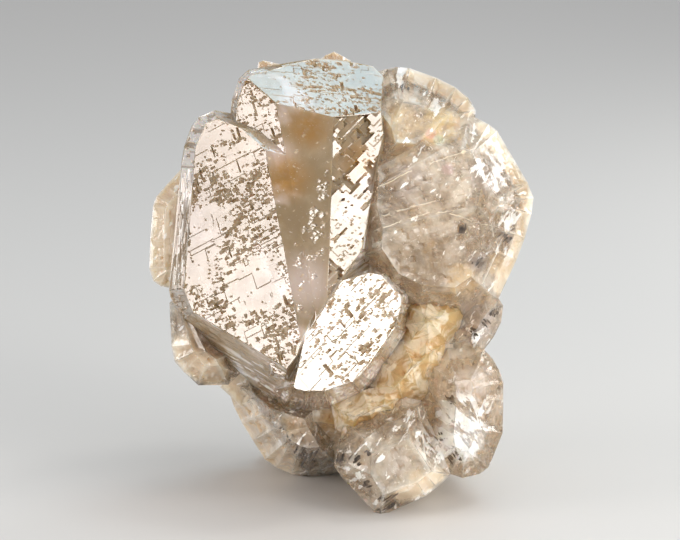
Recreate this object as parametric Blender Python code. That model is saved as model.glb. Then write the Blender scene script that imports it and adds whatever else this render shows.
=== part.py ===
"""A standing cluster of intergrown fluorite crystals.

Every crystal is a block cleaved by flat faces, and Boolean unions join them into one solid.
They are placed in the portrait frame, in millimetres: x to the right, z up, and forward towards the
person who looks at the show side. The whole cluster then leans back and stands on its ground base.
"""

import math
import random

import bmesh
import bpy
from mathutils import Matrix, Vector
from mathutils.geometry import convex_hull_2d

MM = 0.001
NODE_NAME = "fluorite_cluster"

# How the cluster stands: the portrait frame leans back by this angle, and all that is lower than the
# ground height in the leaning frame is ground away, which leaves the flat feet that it rests on.
LEAN_BACK = math.radians(15)
GROUND_HEIGHT = 1.05
ROUGH_BLOCK = 90.0
WELD = 0.01
FLAT = math.radians(0.4)

# The faces of the smoky crystal. Each one goes through a point (x, z, forward) and rises forward by the
# two slopes, per millimetre to the right and per millimetre up.
LEFT_FACE = ((-5.7, 25.4, 17.0), (0.685, -0.11))
MIDDLE_FACE = ((-5.7, 25.4, 17.0), (-0.05, -0.25))
TOP_FACE = ((-2.9, 55.4, 9.4), (-0.27, -1.17))
RIGHT_FACE = ((-1.5, 42.0, 12.64), (-0.37, -0.24))
LOWER_FACE = ((0.3, 29.6, 13.7), (-0.51, 0.03))

# The parquet of growth blocks on those faces: its two directions on the face, as slopes seen in the
# portrait, the size of a block along each, the share of blocks that are etched away, and the depth.
PARQUET = [
    {"face": LEFT_FACE, "sunk": 0.0, "along": (0.89, 0.46), "pitch": (1.9, 1.5), "etched": 0.30, "seed": 3},
    {"face": LEFT_FACE, "sunk": 2.0, "along": (0.89, 0.46), "pitch": (1.8, 1.6), "etched": 0.34, "seed": 4},
    {"face": TOP_FACE, "sunk": 0.0, "along": (0.98, -0.10), "pitch": (2.0, 1.6), "etched": 0.16, "seed": 5},
    {"face": RIGHT_FACE, "sunk": 0.0, "along": (0.68, 0.73), "pitch": (1.9, 1.6), "etched": 0.40, "seed": 8},
    {"face": LOWER_FACE, "sunk": 0.0, "along": (0.68, 0.73), "pitch": (1.9, 1.6), "etched": 0.26, "seed": 13},
]
PIT_DEPTH = (0.25, 0.6)
PIT_WALL = 0.14
LINE_JITTER = 0.35

# Each crystal: the outline of its widest section as (x, z) points, how far forward that section lies in
# its middle and how it slopes (the tilt), how steeply the sides rise to the front and to the back from it,
# where the back is cleaved off, and the large faces on its front, in the form above, with how far each is
# sunk below that plane.
SMOKY_BLOCKS = {
    "left_block": {
        "outline": [
            (-18.0, 56.8), (-15.6, 56.4), (-5.0, 53.8), (-0.8, 45.0), (0.9, 34.0), (0.2, 27.0),
            (-2.7, 19.0), (-6.5, 15.2), (-11.0, 16.0), (-14.5, 19.0), (-18.2, 22.5), (-23.0, 26.6),
            (-24.2, 30.8), (-23.5, 38.2), (-22.2, 50.6), (-20.5, 55.2),
        ],
        "girdle": 0.6, "tilt": (0.26, 0.0), "rise": (3.3, 1.1), "back": -12.0,
        "faces": {LEFT_FACE: 0.0, TOP_FACE: 6.3, MIDDLE_FACE: 0.0},
    },
    "middle_block": {
        "outline": [
            (-13.0, 61.8), (-6.5, 63.0), (0.0, 63.9), (5.6, 63.0), (6.7, 55.4), (7.0, 53.4),
            (6.4, 49.8), (5.6, 45.0), (4.9, 36.5), (-7.0, 16.2), (-11.0, 18.5), (-15.6, 29.5),
            (-16.2, 46.5), (-15.3, 57.6), (-14.3, 60.6),
        ],
        "girdle": 1.0, "tilt": (0.0, -0.05), "rise": (5.5, 1.2), "back": -13.0,
        "faces": {MIDDLE_FACE: 0.0, TOP_FACE: 0.0, RIGHT_FACE: 0.0, LEFT_FACE: 2.0},
    },
    "lower_block": {
        "outline": [
            (4.0, 35.6), (6.6, 34.9), (8.2, 32.6), (9.9, 31.0), (10.1, 29.0), (9.1, 25.2), (7.6, 22.9),
            (4.5, 17.9), (2.8, 16.4), (0.6, 15.4), (-1.6, 14.4), (-5.0, 14.1), (-8.0, 14.6),
            (-10.0, 17.0), (-7.0, 29.5), (-1.5, 34.8),
        ],
        "girdle": 2.0, "rise": (4.6, 1.1), "back": -11.0,
        "faces": {LOWER_FACE: 0.0, LEFT_FACE: 0.25, MIDDLE_FACE: 0.3},
    },
}

CLEAR_CRYSTALS = {
    "upper_right_lobe": {
        "outline": [
            (0.5, 60.5), (6.5, 62.0), (7.8, 62.3), (9.6, 62.1), (13.3, 60.8), (16.1, 59.4), (17.9, 57.9),
            (18.9, 56.2), (18.8, 54.0), (18.0, 50.6), (14.0, 45.0), (0.5, 43.6),
        ],
        "girdle": -1.5, "rise": (1.3, 1.0), "back": -10.0,
        "faces": {((13.0, 56.5, 4.2), (-0.25, -0.45)): 0.0, ((9.0, 60.0, 3.2), (0.35, -0.7)): 0.0},
    },
    "right_crystal": {
        "outline": [
            (11.0, 56.0), (18.0, 55.6), (20.7, 54.2), (21.9, 53.3), (23.6, 50.2), (26.2, 46.0),
            (27.0, 43.9), (26.7, 41.6), (25.8, 38.3), (24.6, 35.2), (23.2, 32.4), (22.0, 29.6),
            (17.4, 26.4), (10.6, 26.2), (4.6, 28.0), (-1.0, 34.0), (-1.6, 43.6), (1.0, 52.0),
        ],
        "girdle": -1.0, "rise": (1.9, 0.9), "back": -15.0,
        "faces": {
            ((13.9, 41.5, 11.4), (-0.05, -0.36)): 0.0,
            ((13.9, 41.5, 11.4), (-0.20, 0.25)): 0.0,
            ((20.0, 44.0, 9.6), (-0.75, -0.20)): 0.0,
            ((9.0, 49.0, 8.6), (0.10, -0.62)): 0.0,
        },
    },
    "small_right_crystal": {
        "outline": [
            (17.0, 27.4), (18.1, 29.1), (20.0, 30.0), (22.1, 29.8), (22.7, 28.8), (22.4, 26.5),
            (21.4, 24.5), (20.0, 22.6), (18.9, 21.5), (16.6, 22.3), (14.9, 23.4), (15.6, 25.2),
        ],
        "girdle": 0.5, "rise": (1.6, 1.6), "back": -7.0,
        "faces": {((18.4, 26.4, 6.2), (-0.35, -0.30)): 0.0, ((18.4, 25.4, 6.4), (-0.10, 0.62)): 0.0},
    },
    "lower_right_crystal": {
        "outline": [
            (11.6, 21.0), (14.8, 22.9), (18.0, 22.5), (20.0, 22.7), (21.2, 21.4), (22.1, 19.8),
            (22.7, 18.1), (22.7, 15.6), (22.4, 13.0), (22.6, 11.0), (21.9, 9.6), (21.4, 8.0),
            (20.6, 6.2), (19.4, 5.3), (17.0, 4.7), (15.2, 5.3), (12.7, 6.7), (11.6, 10.0), (11.0, 15.6),
        ],
        "girdle": 1.0, "rise": (1.7, 3.0), "back": -13.0,
        "faces": {
            ((17.0, 16.2, 9.2), (-0.20, -0.38)): 0.0,
            ((16.0, 14.6, 9.2), (0.12, 0.32)): 0.0,
            ((19.6, 12.5, 7.6), (-0.85, 0.10)): 0.0,
        },
    },
    "bottom_crystal": {
        "outline": [
            (0.5, 12.5), (5.0, 15.2), (8.5, 16.2), (11.2, 15.6), (12.9, 7.4), (15.3, 5.3), (13.4, 3.5),
            (11.8, 2.3), (8.8, 1.3), (5.5, -0.5), (4.5, 0.2), (2.7, 2.4), (0.0, 5.0), (-1.0, 6.6),
            (-0.6, 9.0),
        ],
        "girdle": 4.0, "rise": (1.8, 6.0), "back": -10.0,
        "faces": {
            ((5.6, 10.2, 10.2), (0.10, -0.45)): 0.0,
            ((6.8, 8.0, 10.2), (-0.22, 0.30)): 0.0,
            ((1.2, 8.0, 7.8), (0.95, 0.20)): 0.0,
        },
    },
    "lower_left_crystal": {
        "outline": [
            (-16.0, 18.0), (-13.5, 20.6), (-1.5, 17.0), (1.6, 10.0), (1.0, 5.2), (-2.4, 4.7), (-4.6, 4.4),
            (-7.0, 4.8), (-9.2, 5.8), (-10.8, 6.9), (-12.5, 9.6), (-14.0, 12.0), (-15.2, 14.4),
            (-15.9, 16.4),
        ],
        "girdle": -13.0, "rise": (4.0, 3.0), "back": -17.0,
        "faces": {
            ((-7.0, 12.6, 6.6), (-0.06, -0.42)): 0.0,
            ((-6.0, 11.0, 6.6), (-0.25, 0.45)): 0.0,
            ((-11.8, 12.0, 4.6), (0.80, 0.10)): 0.0,
        },
    },
    "left_foot_crystal": {
        "outline": [
            (-24.1, 29.2), (-22.0, 31.0), (-14.4, 22.5), (-14.2, 19.2), (-15.8, 17.7), (-20.0, 17.6),
            (-22.1, 19.5), (-23.4, 21.0), (-23.8, 23.1), (-23.9, 26.6),
        ],
        "girdle": -2.5, "rise": (1.7, 1.2), "back": -11.0,
        "faces": {((-19.5, 22.6, 3.0), (0.30, -0.35)): 0.0, ((-19.5, 22.2, 3.0), (0.10, 0.55)): 0.0},
    },
    "left_flank_crystal": {
        "outline": [
            (-22.4, 48.2), (-18.5, 47.0), (-17.5, 33.0), (-23.8, 31.2), (-25.4, 31.5), (-26.5, 32.3),
            (-27.0, 34.0), (-26.9, 38.0), (-26.5, 42.8), (-26.0, 44.2), (-24.6, 45.8),
        ],
        "girdle": -6.0, "rise": (1.2, 1.0), "back": -14.0,
        "faces": {((-24.8, 39.0, -3.6), (0.25, -0.05)): 0.0},
    },
    "left_crest_crystal": {
        "outline": [
            (-11.9, 61.0), (-11.6, 63.0), (-10.9, 63.3), (-9.2, 62.8), (-7.0, 62.4), (-5.6, 58.0),
            (-10.0, 55.0),
        ],
        "girdle": -4.0, "rise": (1.2, 0.8), "back": -10.0, "faces": {},
    },
    "right_crest_crystal": {
        "outline": [
            (-3.4, 63.0), (-2.2, 64.0), (-1.0, 64.5), (0.0, 64.0), (1.4, 63.2), (1.0, 57.0), (-3.4, 57.0),
        ],
        "girdle": -3.6, "rise": (1.4, 0.9), "back": -10.0, "faces": {},
    },
}

HONEY_CRYSTALS = {
    "honey_upper": {
        "outline": [
            (8.0, 29.4), (10.4, 31.4), (12.6, 31.0), (15.6, 30.0), (17.4, 28.4), (16.6, 25.8), (15.0, 23.6),
            (12.5, 22.4), (9.0, 23.0), (7.8, 26.0),
        ],
        "girdle": 1.0, "rise": (1.5, 1.5), "back": -8.0,
        "faces": {((12.2, 27.0, 7.2), (-0.10, -0.35)): 0.0, ((12.0, 26.0, 7.4), (-0.25, 0.30)): 0.0},
    },
    "honey_middle": {
        "outline": [
            (5.0, 21.0), (8.5, 24.0), (12.0, 24.4), (14.6, 23.6), (14.2, 20.4), (12.2, 16.4), (9.0, 13.8),
            (5.4, 14.6), (3.6, 17.5),
        ],
        "girdle": 1.5, "rise": (1.6, 1.6), "back": -8.0,
        "faces": {((9.6, 20.6, 7.4), (-0.16, -0.20)): 0.0, ((9.0, 17.6, 7.9), (0.20, 0.16)): 0.0},
    },
    "honey_lower": {
        "outline": [
            (-1.4, 15.0), (3.0, 17.0), (6.2, 17.8), (9.2, 16.6), (8.6, 13.4), (5.0, 11.4), (1.5, 10.4),
            (-0.8, 11.6),
        ],
        "girdle": 3.0, "rise": (1.7, 1.6), "back": -6.0,
        "faces": {((4.0, 14.4, 8.6), (0.06, -0.30)): 0.0, ((3.0, 13.0, 8.6), (-0.10, 0.35)): 0.0},
    },
}

# The side that the show side hides: crystals that grew backwards, and a foot that carries the weight.
REAR_CRYSTALS = {
    "core": {
        "outline": [
            (-14.0, 46.0), (-4.0, 52.0), (9.0, 50.0), (18.0, 43.0), (20.5, 33.0), (17.8, 24.0), (19.4, 13.0),
            (14.0, 7.6), (1.0, 7.6), (-9.0, 9.0), (-14.0, 19.0), (-18.5, 27.0), (-18.5, 38.0),
        ],
        "girdle": -5.0, "rise": (1.4, 1.3), "back": -15.0,
        "faces": {((0.0, 30.0, 1.0), (0.0, 0.0)): 0.0},
    },
    "rear_upper": {
        "outline": [
            (-14.0, 52.0), (-6.0, 56.5), (3.0, 56.0), (10.0, 50.5), (13.5, 41.0), (9.0, 32.0), (-2.0, 28.0),
            (-13.0, 31.0), (-18.0, 39.0), (-18.0, 46.5),
        ],
        "girdle": -9.0, "rise": (1.0, 0.75), "back": -19.5,
        "faces": {},
        "rear": [((-4.0, 44.0, -18.0), (0.30, 0.28)), ((3.0, 38.0, -18.5), (-0.32, -0.12))],
    },
    "rear_right": {
        "outline": [
            (6.0, 43.0), (14.0, 45.0), (20.0, 40.5), (22.5, 33.0), (20.5, 25.0), (13.0, 21.0), (5.0, 24.0),
            (2.0, 33.0),
        ],
        "girdle": -9.0, "rise": (1.0, 0.95), "back": -20.0,
        "faces": {},
        "rear": [((13.0, 33.0, -18.6), (0.38, 0.16)), ((10.0, 30.0, -18.9), (-0.25, -0.40))],
    },
    "rear_left": {
        "outline": [
            (-20.0, 33.0), (-12.0, 35.5), (-4.0, 31.0), (-2.0, 23.0), (-6.0, 16.0), (-14.0, 14.5),
            (-19.0, 19.0), (-21.5, 26.0),
        ],
        "girdle": -8.0, "rise": (1.0, 0.95), "back": -19.0,
        "faces": {},
        "rear": [((-12.0, 26.0, -17.2), (-0.32, 0.22)), ((-11.0, 23.0, -17.4), (0.28, -0.34))],
    },
    "rear_middle": {
        "outline": [
            (-12.0, 27.0), (-3.0, 32.5), (10.0, 32.0), (18.0, 27.0), (19.2, 19.0), (14.0, 11.5), (2.0, 9.5),
            (-8.5, 11.0), (-13.5, 18.5),
        ],
        "girdle": -12.0, "rise": (1.0, 1.6), "back": -20.0,
        "faces": {},
        "rear": [((3.0, 22.0, -19.4), (0.10, -0.34)), ((-2.0, 21.0, -18.8), (-0.38, 0.16))],
    },
    "rear_foot": {
        "outline": [
            (-9.5, 17.0), (-3.0, 24.0), (8.0, 26.0), (17.5, 21.5), (20.8, 13.0), (19.4, 6.6), (14.8, 5.8),
            (2.0, 5.2), (-6.5, 5.2), (-9.0, 6.0), (-10.3, 6.8), (-11.2, 8.4), (-11.6, 11.0),
        ],
        "girdle": -18.5, "rise": (0.8, 5.0), "back": -23.0,
        "faces": {},
        "rear": [((4.0, 16.0, -21.6), (0.05, 0.45)), ((12.0, 12.0, -22.2), (0.34, 0.06))],
    },
}


def portrait(x, z, forward):
    """A point of the portrait frame, in Blender's metres: forward is towards -Y."""
    return Vector((x, -forward, z)) * MM


def face_normal(slopes, towards=1.0):
    """The outward normal of a face that rises forward by these slopes; towards is -1 on the back."""
    return Vector((-slopes[0] * towards, -towards, -slopes[1] * towards)).normalized()


def cleave(bm, point, normal):
    """Splits off what lies beyond a plane and closes the crystal with the new flat face."""
    everything = bm.verts[:] + bm.edges[:] + bm.faces[:]
    bmesh.ops.bisect_plane(bm, geom=everything, plane_co=point, plane_no=normal, clear_outer=True)
    rim = [edge for edge in bm.edges if edge.is_boundary]
    if rim:
        bmesh.ops.holes_fill(bm, edges=rim)


def cleaved_crystal(shape):
    """A rough block, cleaved along each side of the outline, along the back and along the front faces."""
    bm = bmesh.new()
    bmesh.ops.create_cube(bm, size=2 * ROUGH_BLOCK * MM)
    girdle, back, tilt = shape["girdle"], shape["back"], Vector(shape.get("tilt", (0, 0)))
    to_front, to_back = shape["rise"]
    points = shape["outline"]
    outline = [Vector(points[i]) for i in convex_hull_2d(points)]
    middle = sum(outline, Vector((0, 0))) / len(outline)
    for corner, following in zip(outline, outline[1:] + outline[:1]):
        side = following - corner
        outward = Vector((side.y, -side.x)).normalized()
        if outward.dot(corner - middle) < 0:
            outward.negate()
        at = portrait(corner.x, corner.y, girdle + tilt.dot(corner - middle))
        cleave(bm, at, Vector((outward.x * to_front, -1, outward.y * to_front)))
        cleave(bm, at, Vector((outward.x * to_back, 1, outward.y * to_back)))
    for (point, slopes), sunk in shape["faces"].items():
        cleave(bm, portrait(point[0], point[1], point[2] - sunk), face_normal(slopes))
    for point, slopes in shape.get("rear", []):
        cleave(bm, portrait(*point), face_normal(slopes, -1))
    cleave(bm, portrait(middle.x, middle.y, back), Vector((0, 1, 0)))
    bmesh.ops.remove_doubles(bm, verts=bm.verts, dist=WELD * MM)
    bmesh.ops.recalc_face_normals(bm, faces=bm.faces)
    return bm


def parquet_directions(face, along):
    """Two directions at right angles on a face, the first one seen along this slope in the portrait."""
    point, slopes = face
    normal = face_normal(slopes)
    first = portrait(along[0], along[1], slopes[0] * along[0] + slopes[1] * along[1]).normalized()
    return normal, first, normal.cross(first).normalized()


def lattice_lines(faces, direction, pitch, rng):
    """Where the parquet's lines cross the faces, counted along a direction, with uneven spacing."""
    reach = [vert.co.dot(direction) for face in faces for vert in face.verts]
    at, end = min(reach) + 0.5 * pitch, max(reach) - 0.3 * pitch
    while at < end:
        yield at + rng.uniform(-LINE_JITTER, LINE_JITTER) * pitch
        at += pitch


def etch_parquet(bm, face, sunk, along, pitch, etched, seed):
    """Cuts a face into rectangular growth blocks and etches some of them away, as flat-bottomed pits."""
    rng = random.Random(seed)
    point = portrait(face[0][0], face[0][1], face[0][2] - sunk)
    normal, first, second = parquet_directions(face, along)

    def blocks():
        for polygon in bm.faces:
            level = abs((polygon.calc_center_median() - point).dot(normal))
            if level < WELD * MM and polygon.normal.angle(normal) < FLAT:
                yield polygon

    for direction, step in ((first, pitch[0] * MM), (second, pitch[1] * MM)):
        for line in list(lattice_lines(list(blocks()), direction, step, rng)):
            cut = list(blocks())
            corners = {vert for polygon in cut for vert in polygon.verts}
            sides = {edge for polygon in cut for edge in polygon.edges}
            geometry = list(corners) + list(sides) + cut
            bmesh.ops.bisect_plane(bm, geom=geometry, plane_co=direction * line, plane_no=direction)
    smallest = 0.3 * pitch[0] * pitch[1] * MM * MM
    whole = [block for block in blocks() if len(block.verts) == 4 and block.calc_area() > smallest]
    whole.sort(key=lambda block: tuple(block.calc_center_median()))
    for block in rng.sample(whole, round(etched * len(whole))):
        depth = -rng.uniform(*PIT_DEPTH) * MM
        bmesh.ops.inset_individual(bm, faces=[block], thickness=PIT_WALL * MM, depth=depth)


def made_object(name, bm, collection):
    mesh = bpy.data.meshes.new(name)
    bm.to_mesh(mesh)
    bm.free()
    made = bpy.data.objects.new(name, mesh)
    collection.objects.link(made)
    return made


def fluorite_material():
    material = bpy.data.materials.new("fluorite")
    material.use_nodes = True
    shader = material.node_tree.nodes["Principled BSDF"]
    shader.inputs["Base Color"].default_value = (0.62, 0.50, 0.37, 1)
    shader.inputs["Roughness"].default_value = 0.12
    shader.inputs["Metallic"].default_value = 0.0
    return material


def hidden_collection(name):
    """A collection for what is only joined on or cut with, drawn as wire and left out of the model."""
    collection = bpy.data.collections.new(name)
    collection.hide_render = True
    bpy.context.scene.collection.children.link(collection)
    return collection


def hide(helper):
    helper.hide_render = True
    helper.display_type = "WIRE"


def grinding_bench(collection):
    """A slab whose top is the plane that the cluster stands on."""
    side, depth = 4 * ROUGH_BLOCK * MM, 2 * ROUGH_BLOCK * MM
    bpy.ops.mesh.primitive_cube_add(size=1, location=(0, 0, -0.5 * depth))
    bench = bpy.context.object
    bench.name = "grinding_bench"
    bench.data.transform(Matrix.Diagonal((side, side, depth, 1)))
    for owner in bench.users_collection:
        owner.objects.unlink(bench)
    collection.objects.link(bench)
    hide(bench)
    return bench


def add_boolean(target, name, operation, **operand):
    modifier = target.modifiers.new(name, "BOOLEAN")
    modifier.operation = operation
    modifier.solver = "EXACT"
    for key, value in operand.items():
        setattr(modifier, key, value)
    return modifier


def apply_modifiers(cluster, relief):
    """Makes the modifiers' result the object's own mesh, with the parquet etched into its faces."""
    bpy.context.view_layer.update()
    evaluated = cluster.evaluated_get(bpy.context.evaluated_depsgraph_get())
    bm = bmesh.new()
    bm.from_mesh(evaluated.to_mesh())
    evaluated.to_mesh_clear()
    bmesh.ops.remove_doubles(bm, verts=bm.verts, dist=0.1 * WELD * MM)
    for pattern in relief:
        etch_parquet(bm, **pattern)
    cluster.modifiers.clear()
    bm.to_mesh(cluster.data)
    bm.free()


def centre_over_origin(cluster, stand):
    """Slides the stand so that the cluster's bounding box is centred over the origin."""
    bpy.context.view_layer.update()
    evaluated = cluster.evaluated_get(bpy.context.evaluated_depsgraph_get())
    places = [evaluated.matrix_world @ vert.co for vert in evaluated.data.vertices]
    for axis in (0, 1):
        along = [place[axis] for place in places]
        stand.location[axis] -= (min(along) + max(along)) / 2


def build():
    for old in list(bpy.data.objects):
        bpy.data.objects.remove(old)
    shown = bpy.data.collections.new(NODE_NAME)
    bpy.context.scene.collection.children.link(shown)
    intergrown = hidden_collection("intergrown_crystals")
    benches = hidden_collection("cutters")

    shapes = SMOKY_BLOCKS | CLEAR_CRYSTALS | HONEY_CRYSTALS | REAR_CRYSTALS
    middle = cleaved_crystal(shapes.pop("middle_block"))
    cluster = made_object(NODE_NAME, middle, shown)
    cluster.data.materials.append(fluorite_material())
    for name, shape in shapes.items():
        hide(made_object(name, cleaved_crystal(shape), intergrown))
    add_boolean(cluster, "grow together", "UNION", operand_type="COLLECTION", collection=intergrown)
    apply_modifiers(cluster, PARQUET)

    stand = bpy.data.objects.new("stand", None)
    shown.objects.link(stand)
    stand.rotation_euler.x = -LEAN_BACK
    stand.location.z = -GROUND_HEIGHT * MM
    cluster.parent = stand
    add_boolean(cluster, "grind the base", "DIFFERENCE", object=grinding_bench(benches))
    centre_over_origin(cluster, stand)


build()
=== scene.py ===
"""Looks of the fluorite cluster: a smoky champagne crystal with etched parquet faces, clear crystals with
inner fractures, and honey-yellow ones between them, on a pale studio floor.

Every crystal is shaped in the portrait frame, in millimetres: x to the right, z up, and forward towards
the camera. The whole cluster then leans back onto its ground base, as the solid does.
"""

import math

import bmesh
import bpy
import numpy as np
from mathutils import Matrix, Vector
from mathutils.bvhtree import BVHTree
from mathutils.geometry import convex_hull_2d, delaunay_2d_cdt


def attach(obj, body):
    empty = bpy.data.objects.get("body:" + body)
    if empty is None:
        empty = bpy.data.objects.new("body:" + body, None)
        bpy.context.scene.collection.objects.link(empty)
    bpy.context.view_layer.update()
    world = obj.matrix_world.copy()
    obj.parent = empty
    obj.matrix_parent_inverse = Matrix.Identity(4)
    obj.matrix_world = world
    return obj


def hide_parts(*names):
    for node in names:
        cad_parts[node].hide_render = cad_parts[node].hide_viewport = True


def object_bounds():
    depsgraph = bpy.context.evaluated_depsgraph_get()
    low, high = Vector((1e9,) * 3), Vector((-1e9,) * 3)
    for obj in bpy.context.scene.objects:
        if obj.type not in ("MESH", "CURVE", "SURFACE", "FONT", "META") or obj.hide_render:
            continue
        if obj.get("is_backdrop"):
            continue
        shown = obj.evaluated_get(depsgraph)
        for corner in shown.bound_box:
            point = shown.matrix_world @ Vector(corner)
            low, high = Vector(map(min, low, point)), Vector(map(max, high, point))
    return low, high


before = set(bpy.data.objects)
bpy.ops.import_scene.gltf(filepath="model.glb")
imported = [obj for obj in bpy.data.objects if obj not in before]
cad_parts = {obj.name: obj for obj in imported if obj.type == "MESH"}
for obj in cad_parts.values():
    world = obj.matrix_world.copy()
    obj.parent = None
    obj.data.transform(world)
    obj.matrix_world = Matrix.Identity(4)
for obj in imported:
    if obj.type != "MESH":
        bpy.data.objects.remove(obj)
CAD_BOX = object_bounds()
NODE, BODY = "fluorite_cluster", "root"
MM = 0.001

# How the cluster stands, as in the solid: it leans back, and what is lower than the ground is cut off.
LEAN_BACK = math.radians(15)
GROUND_HEIGHT = 1.05
# Half the size of a rough block and the distance within which corners are one, in millimetres.
ROUGH_BLOCK = 90.0
WELD = 0.002
# Faces that meet at less than this are one, and a face that is nearer than this to a named one is that face.
FLAT_WITHIN = math.radians(0.08)
NAMED_WITHIN = math.radians(0.6)

# The faces of the smoky crystal. Each one: x, z and forward of a point on it, and how far it rises forward
# per millimetre to the right and per millimetre up.
LEFT_FACE = (-5.7, 25.4, 17, 0.685, -0.11)
MIDDLE_FACE = (-5.7, 25.4, 17, -0.05, -0.25)
TOP_FACE = (-2.9, 55.4, 9.4, -0.27, -1.17)
RIGHT_FACE = (-1.5, 42, 12.64, -0.37, -0.24)
LOWER_FACE = (0.3, 29.6, 13.7, -0.51, 0.03)

# Each crystal: the outline of its widest section as (x, z) points; the girdle, which is how far forward that
# section lies in its middle; the tilt, by which it slopes; the rise, which is how steeply the sides rise
# from it to the front and to the back; where the back is cleaved off; the large faces on its front, in the
# form above, with how far some are sunk below that plane; and large faces on its rear.
SMOKY_BLOCKS = {
    "left_block": dict(outline=[
        (-18, 56.8), (-15.6, 56.4), (-5, 53.8), (-0.8, 45), (0.9, 34), (0.2, 27), (-2.7, 19), (-6.5, 15.2),
        (-11, 16), (-14.5, 19), (-23, 26.6), (-24.2, 30.8), (-23.5, 38.2), (-22.2, 50.6), (-20.5, 55.2),
    ], girdle=0.6, tilt=(0.26, 0), rise=(3.3, 1.1), back=-12, faces=[LEFT_FACE, TOP_FACE, MIDDLE_FACE],
        sunk={TOP_FACE: 6.3},
    ),
    "middle_block": dict(outline=[
        (-13, 61.8), (-6.5, 63), (0, 63.9), (5.6, 63), (7, 53.4), (4.9, 36.5), (-7, 16.2), (-11, 18.5),
        (-15.6, 29.5), (-16.2, 46.5), (-15.3, 57.6), (-14.3, 60.6),
    ], girdle=1, tilt=(0, -0.05), rise=(5.5, 1.2), back=-13,
        faces=[MIDDLE_FACE, TOP_FACE, RIGHT_FACE, LEFT_FACE], sunk={LEFT_FACE: 2},
    ),
    "lower_block": dict(outline=[
        (4, 35.6), (6.6, 34.9), (9.9, 31), (10.1, 29), (9.1, 25.2), (4.5, 17.9), (2.8, 16.4), (-1.6, 14.4),
        (-5, 14.1), (-8, 14.6), (-10, 17), (-7, 29.5), (-1.5, 34.8),
    ], girdle=2, rise=(4.6, 1.1), back=-11, faces=[LOWER_FACE, LEFT_FACE, MIDDLE_FACE],
        sunk={LEFT_FACE: 0.25, MIDDLE_FACE: 0.3},
    ),
}

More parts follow.
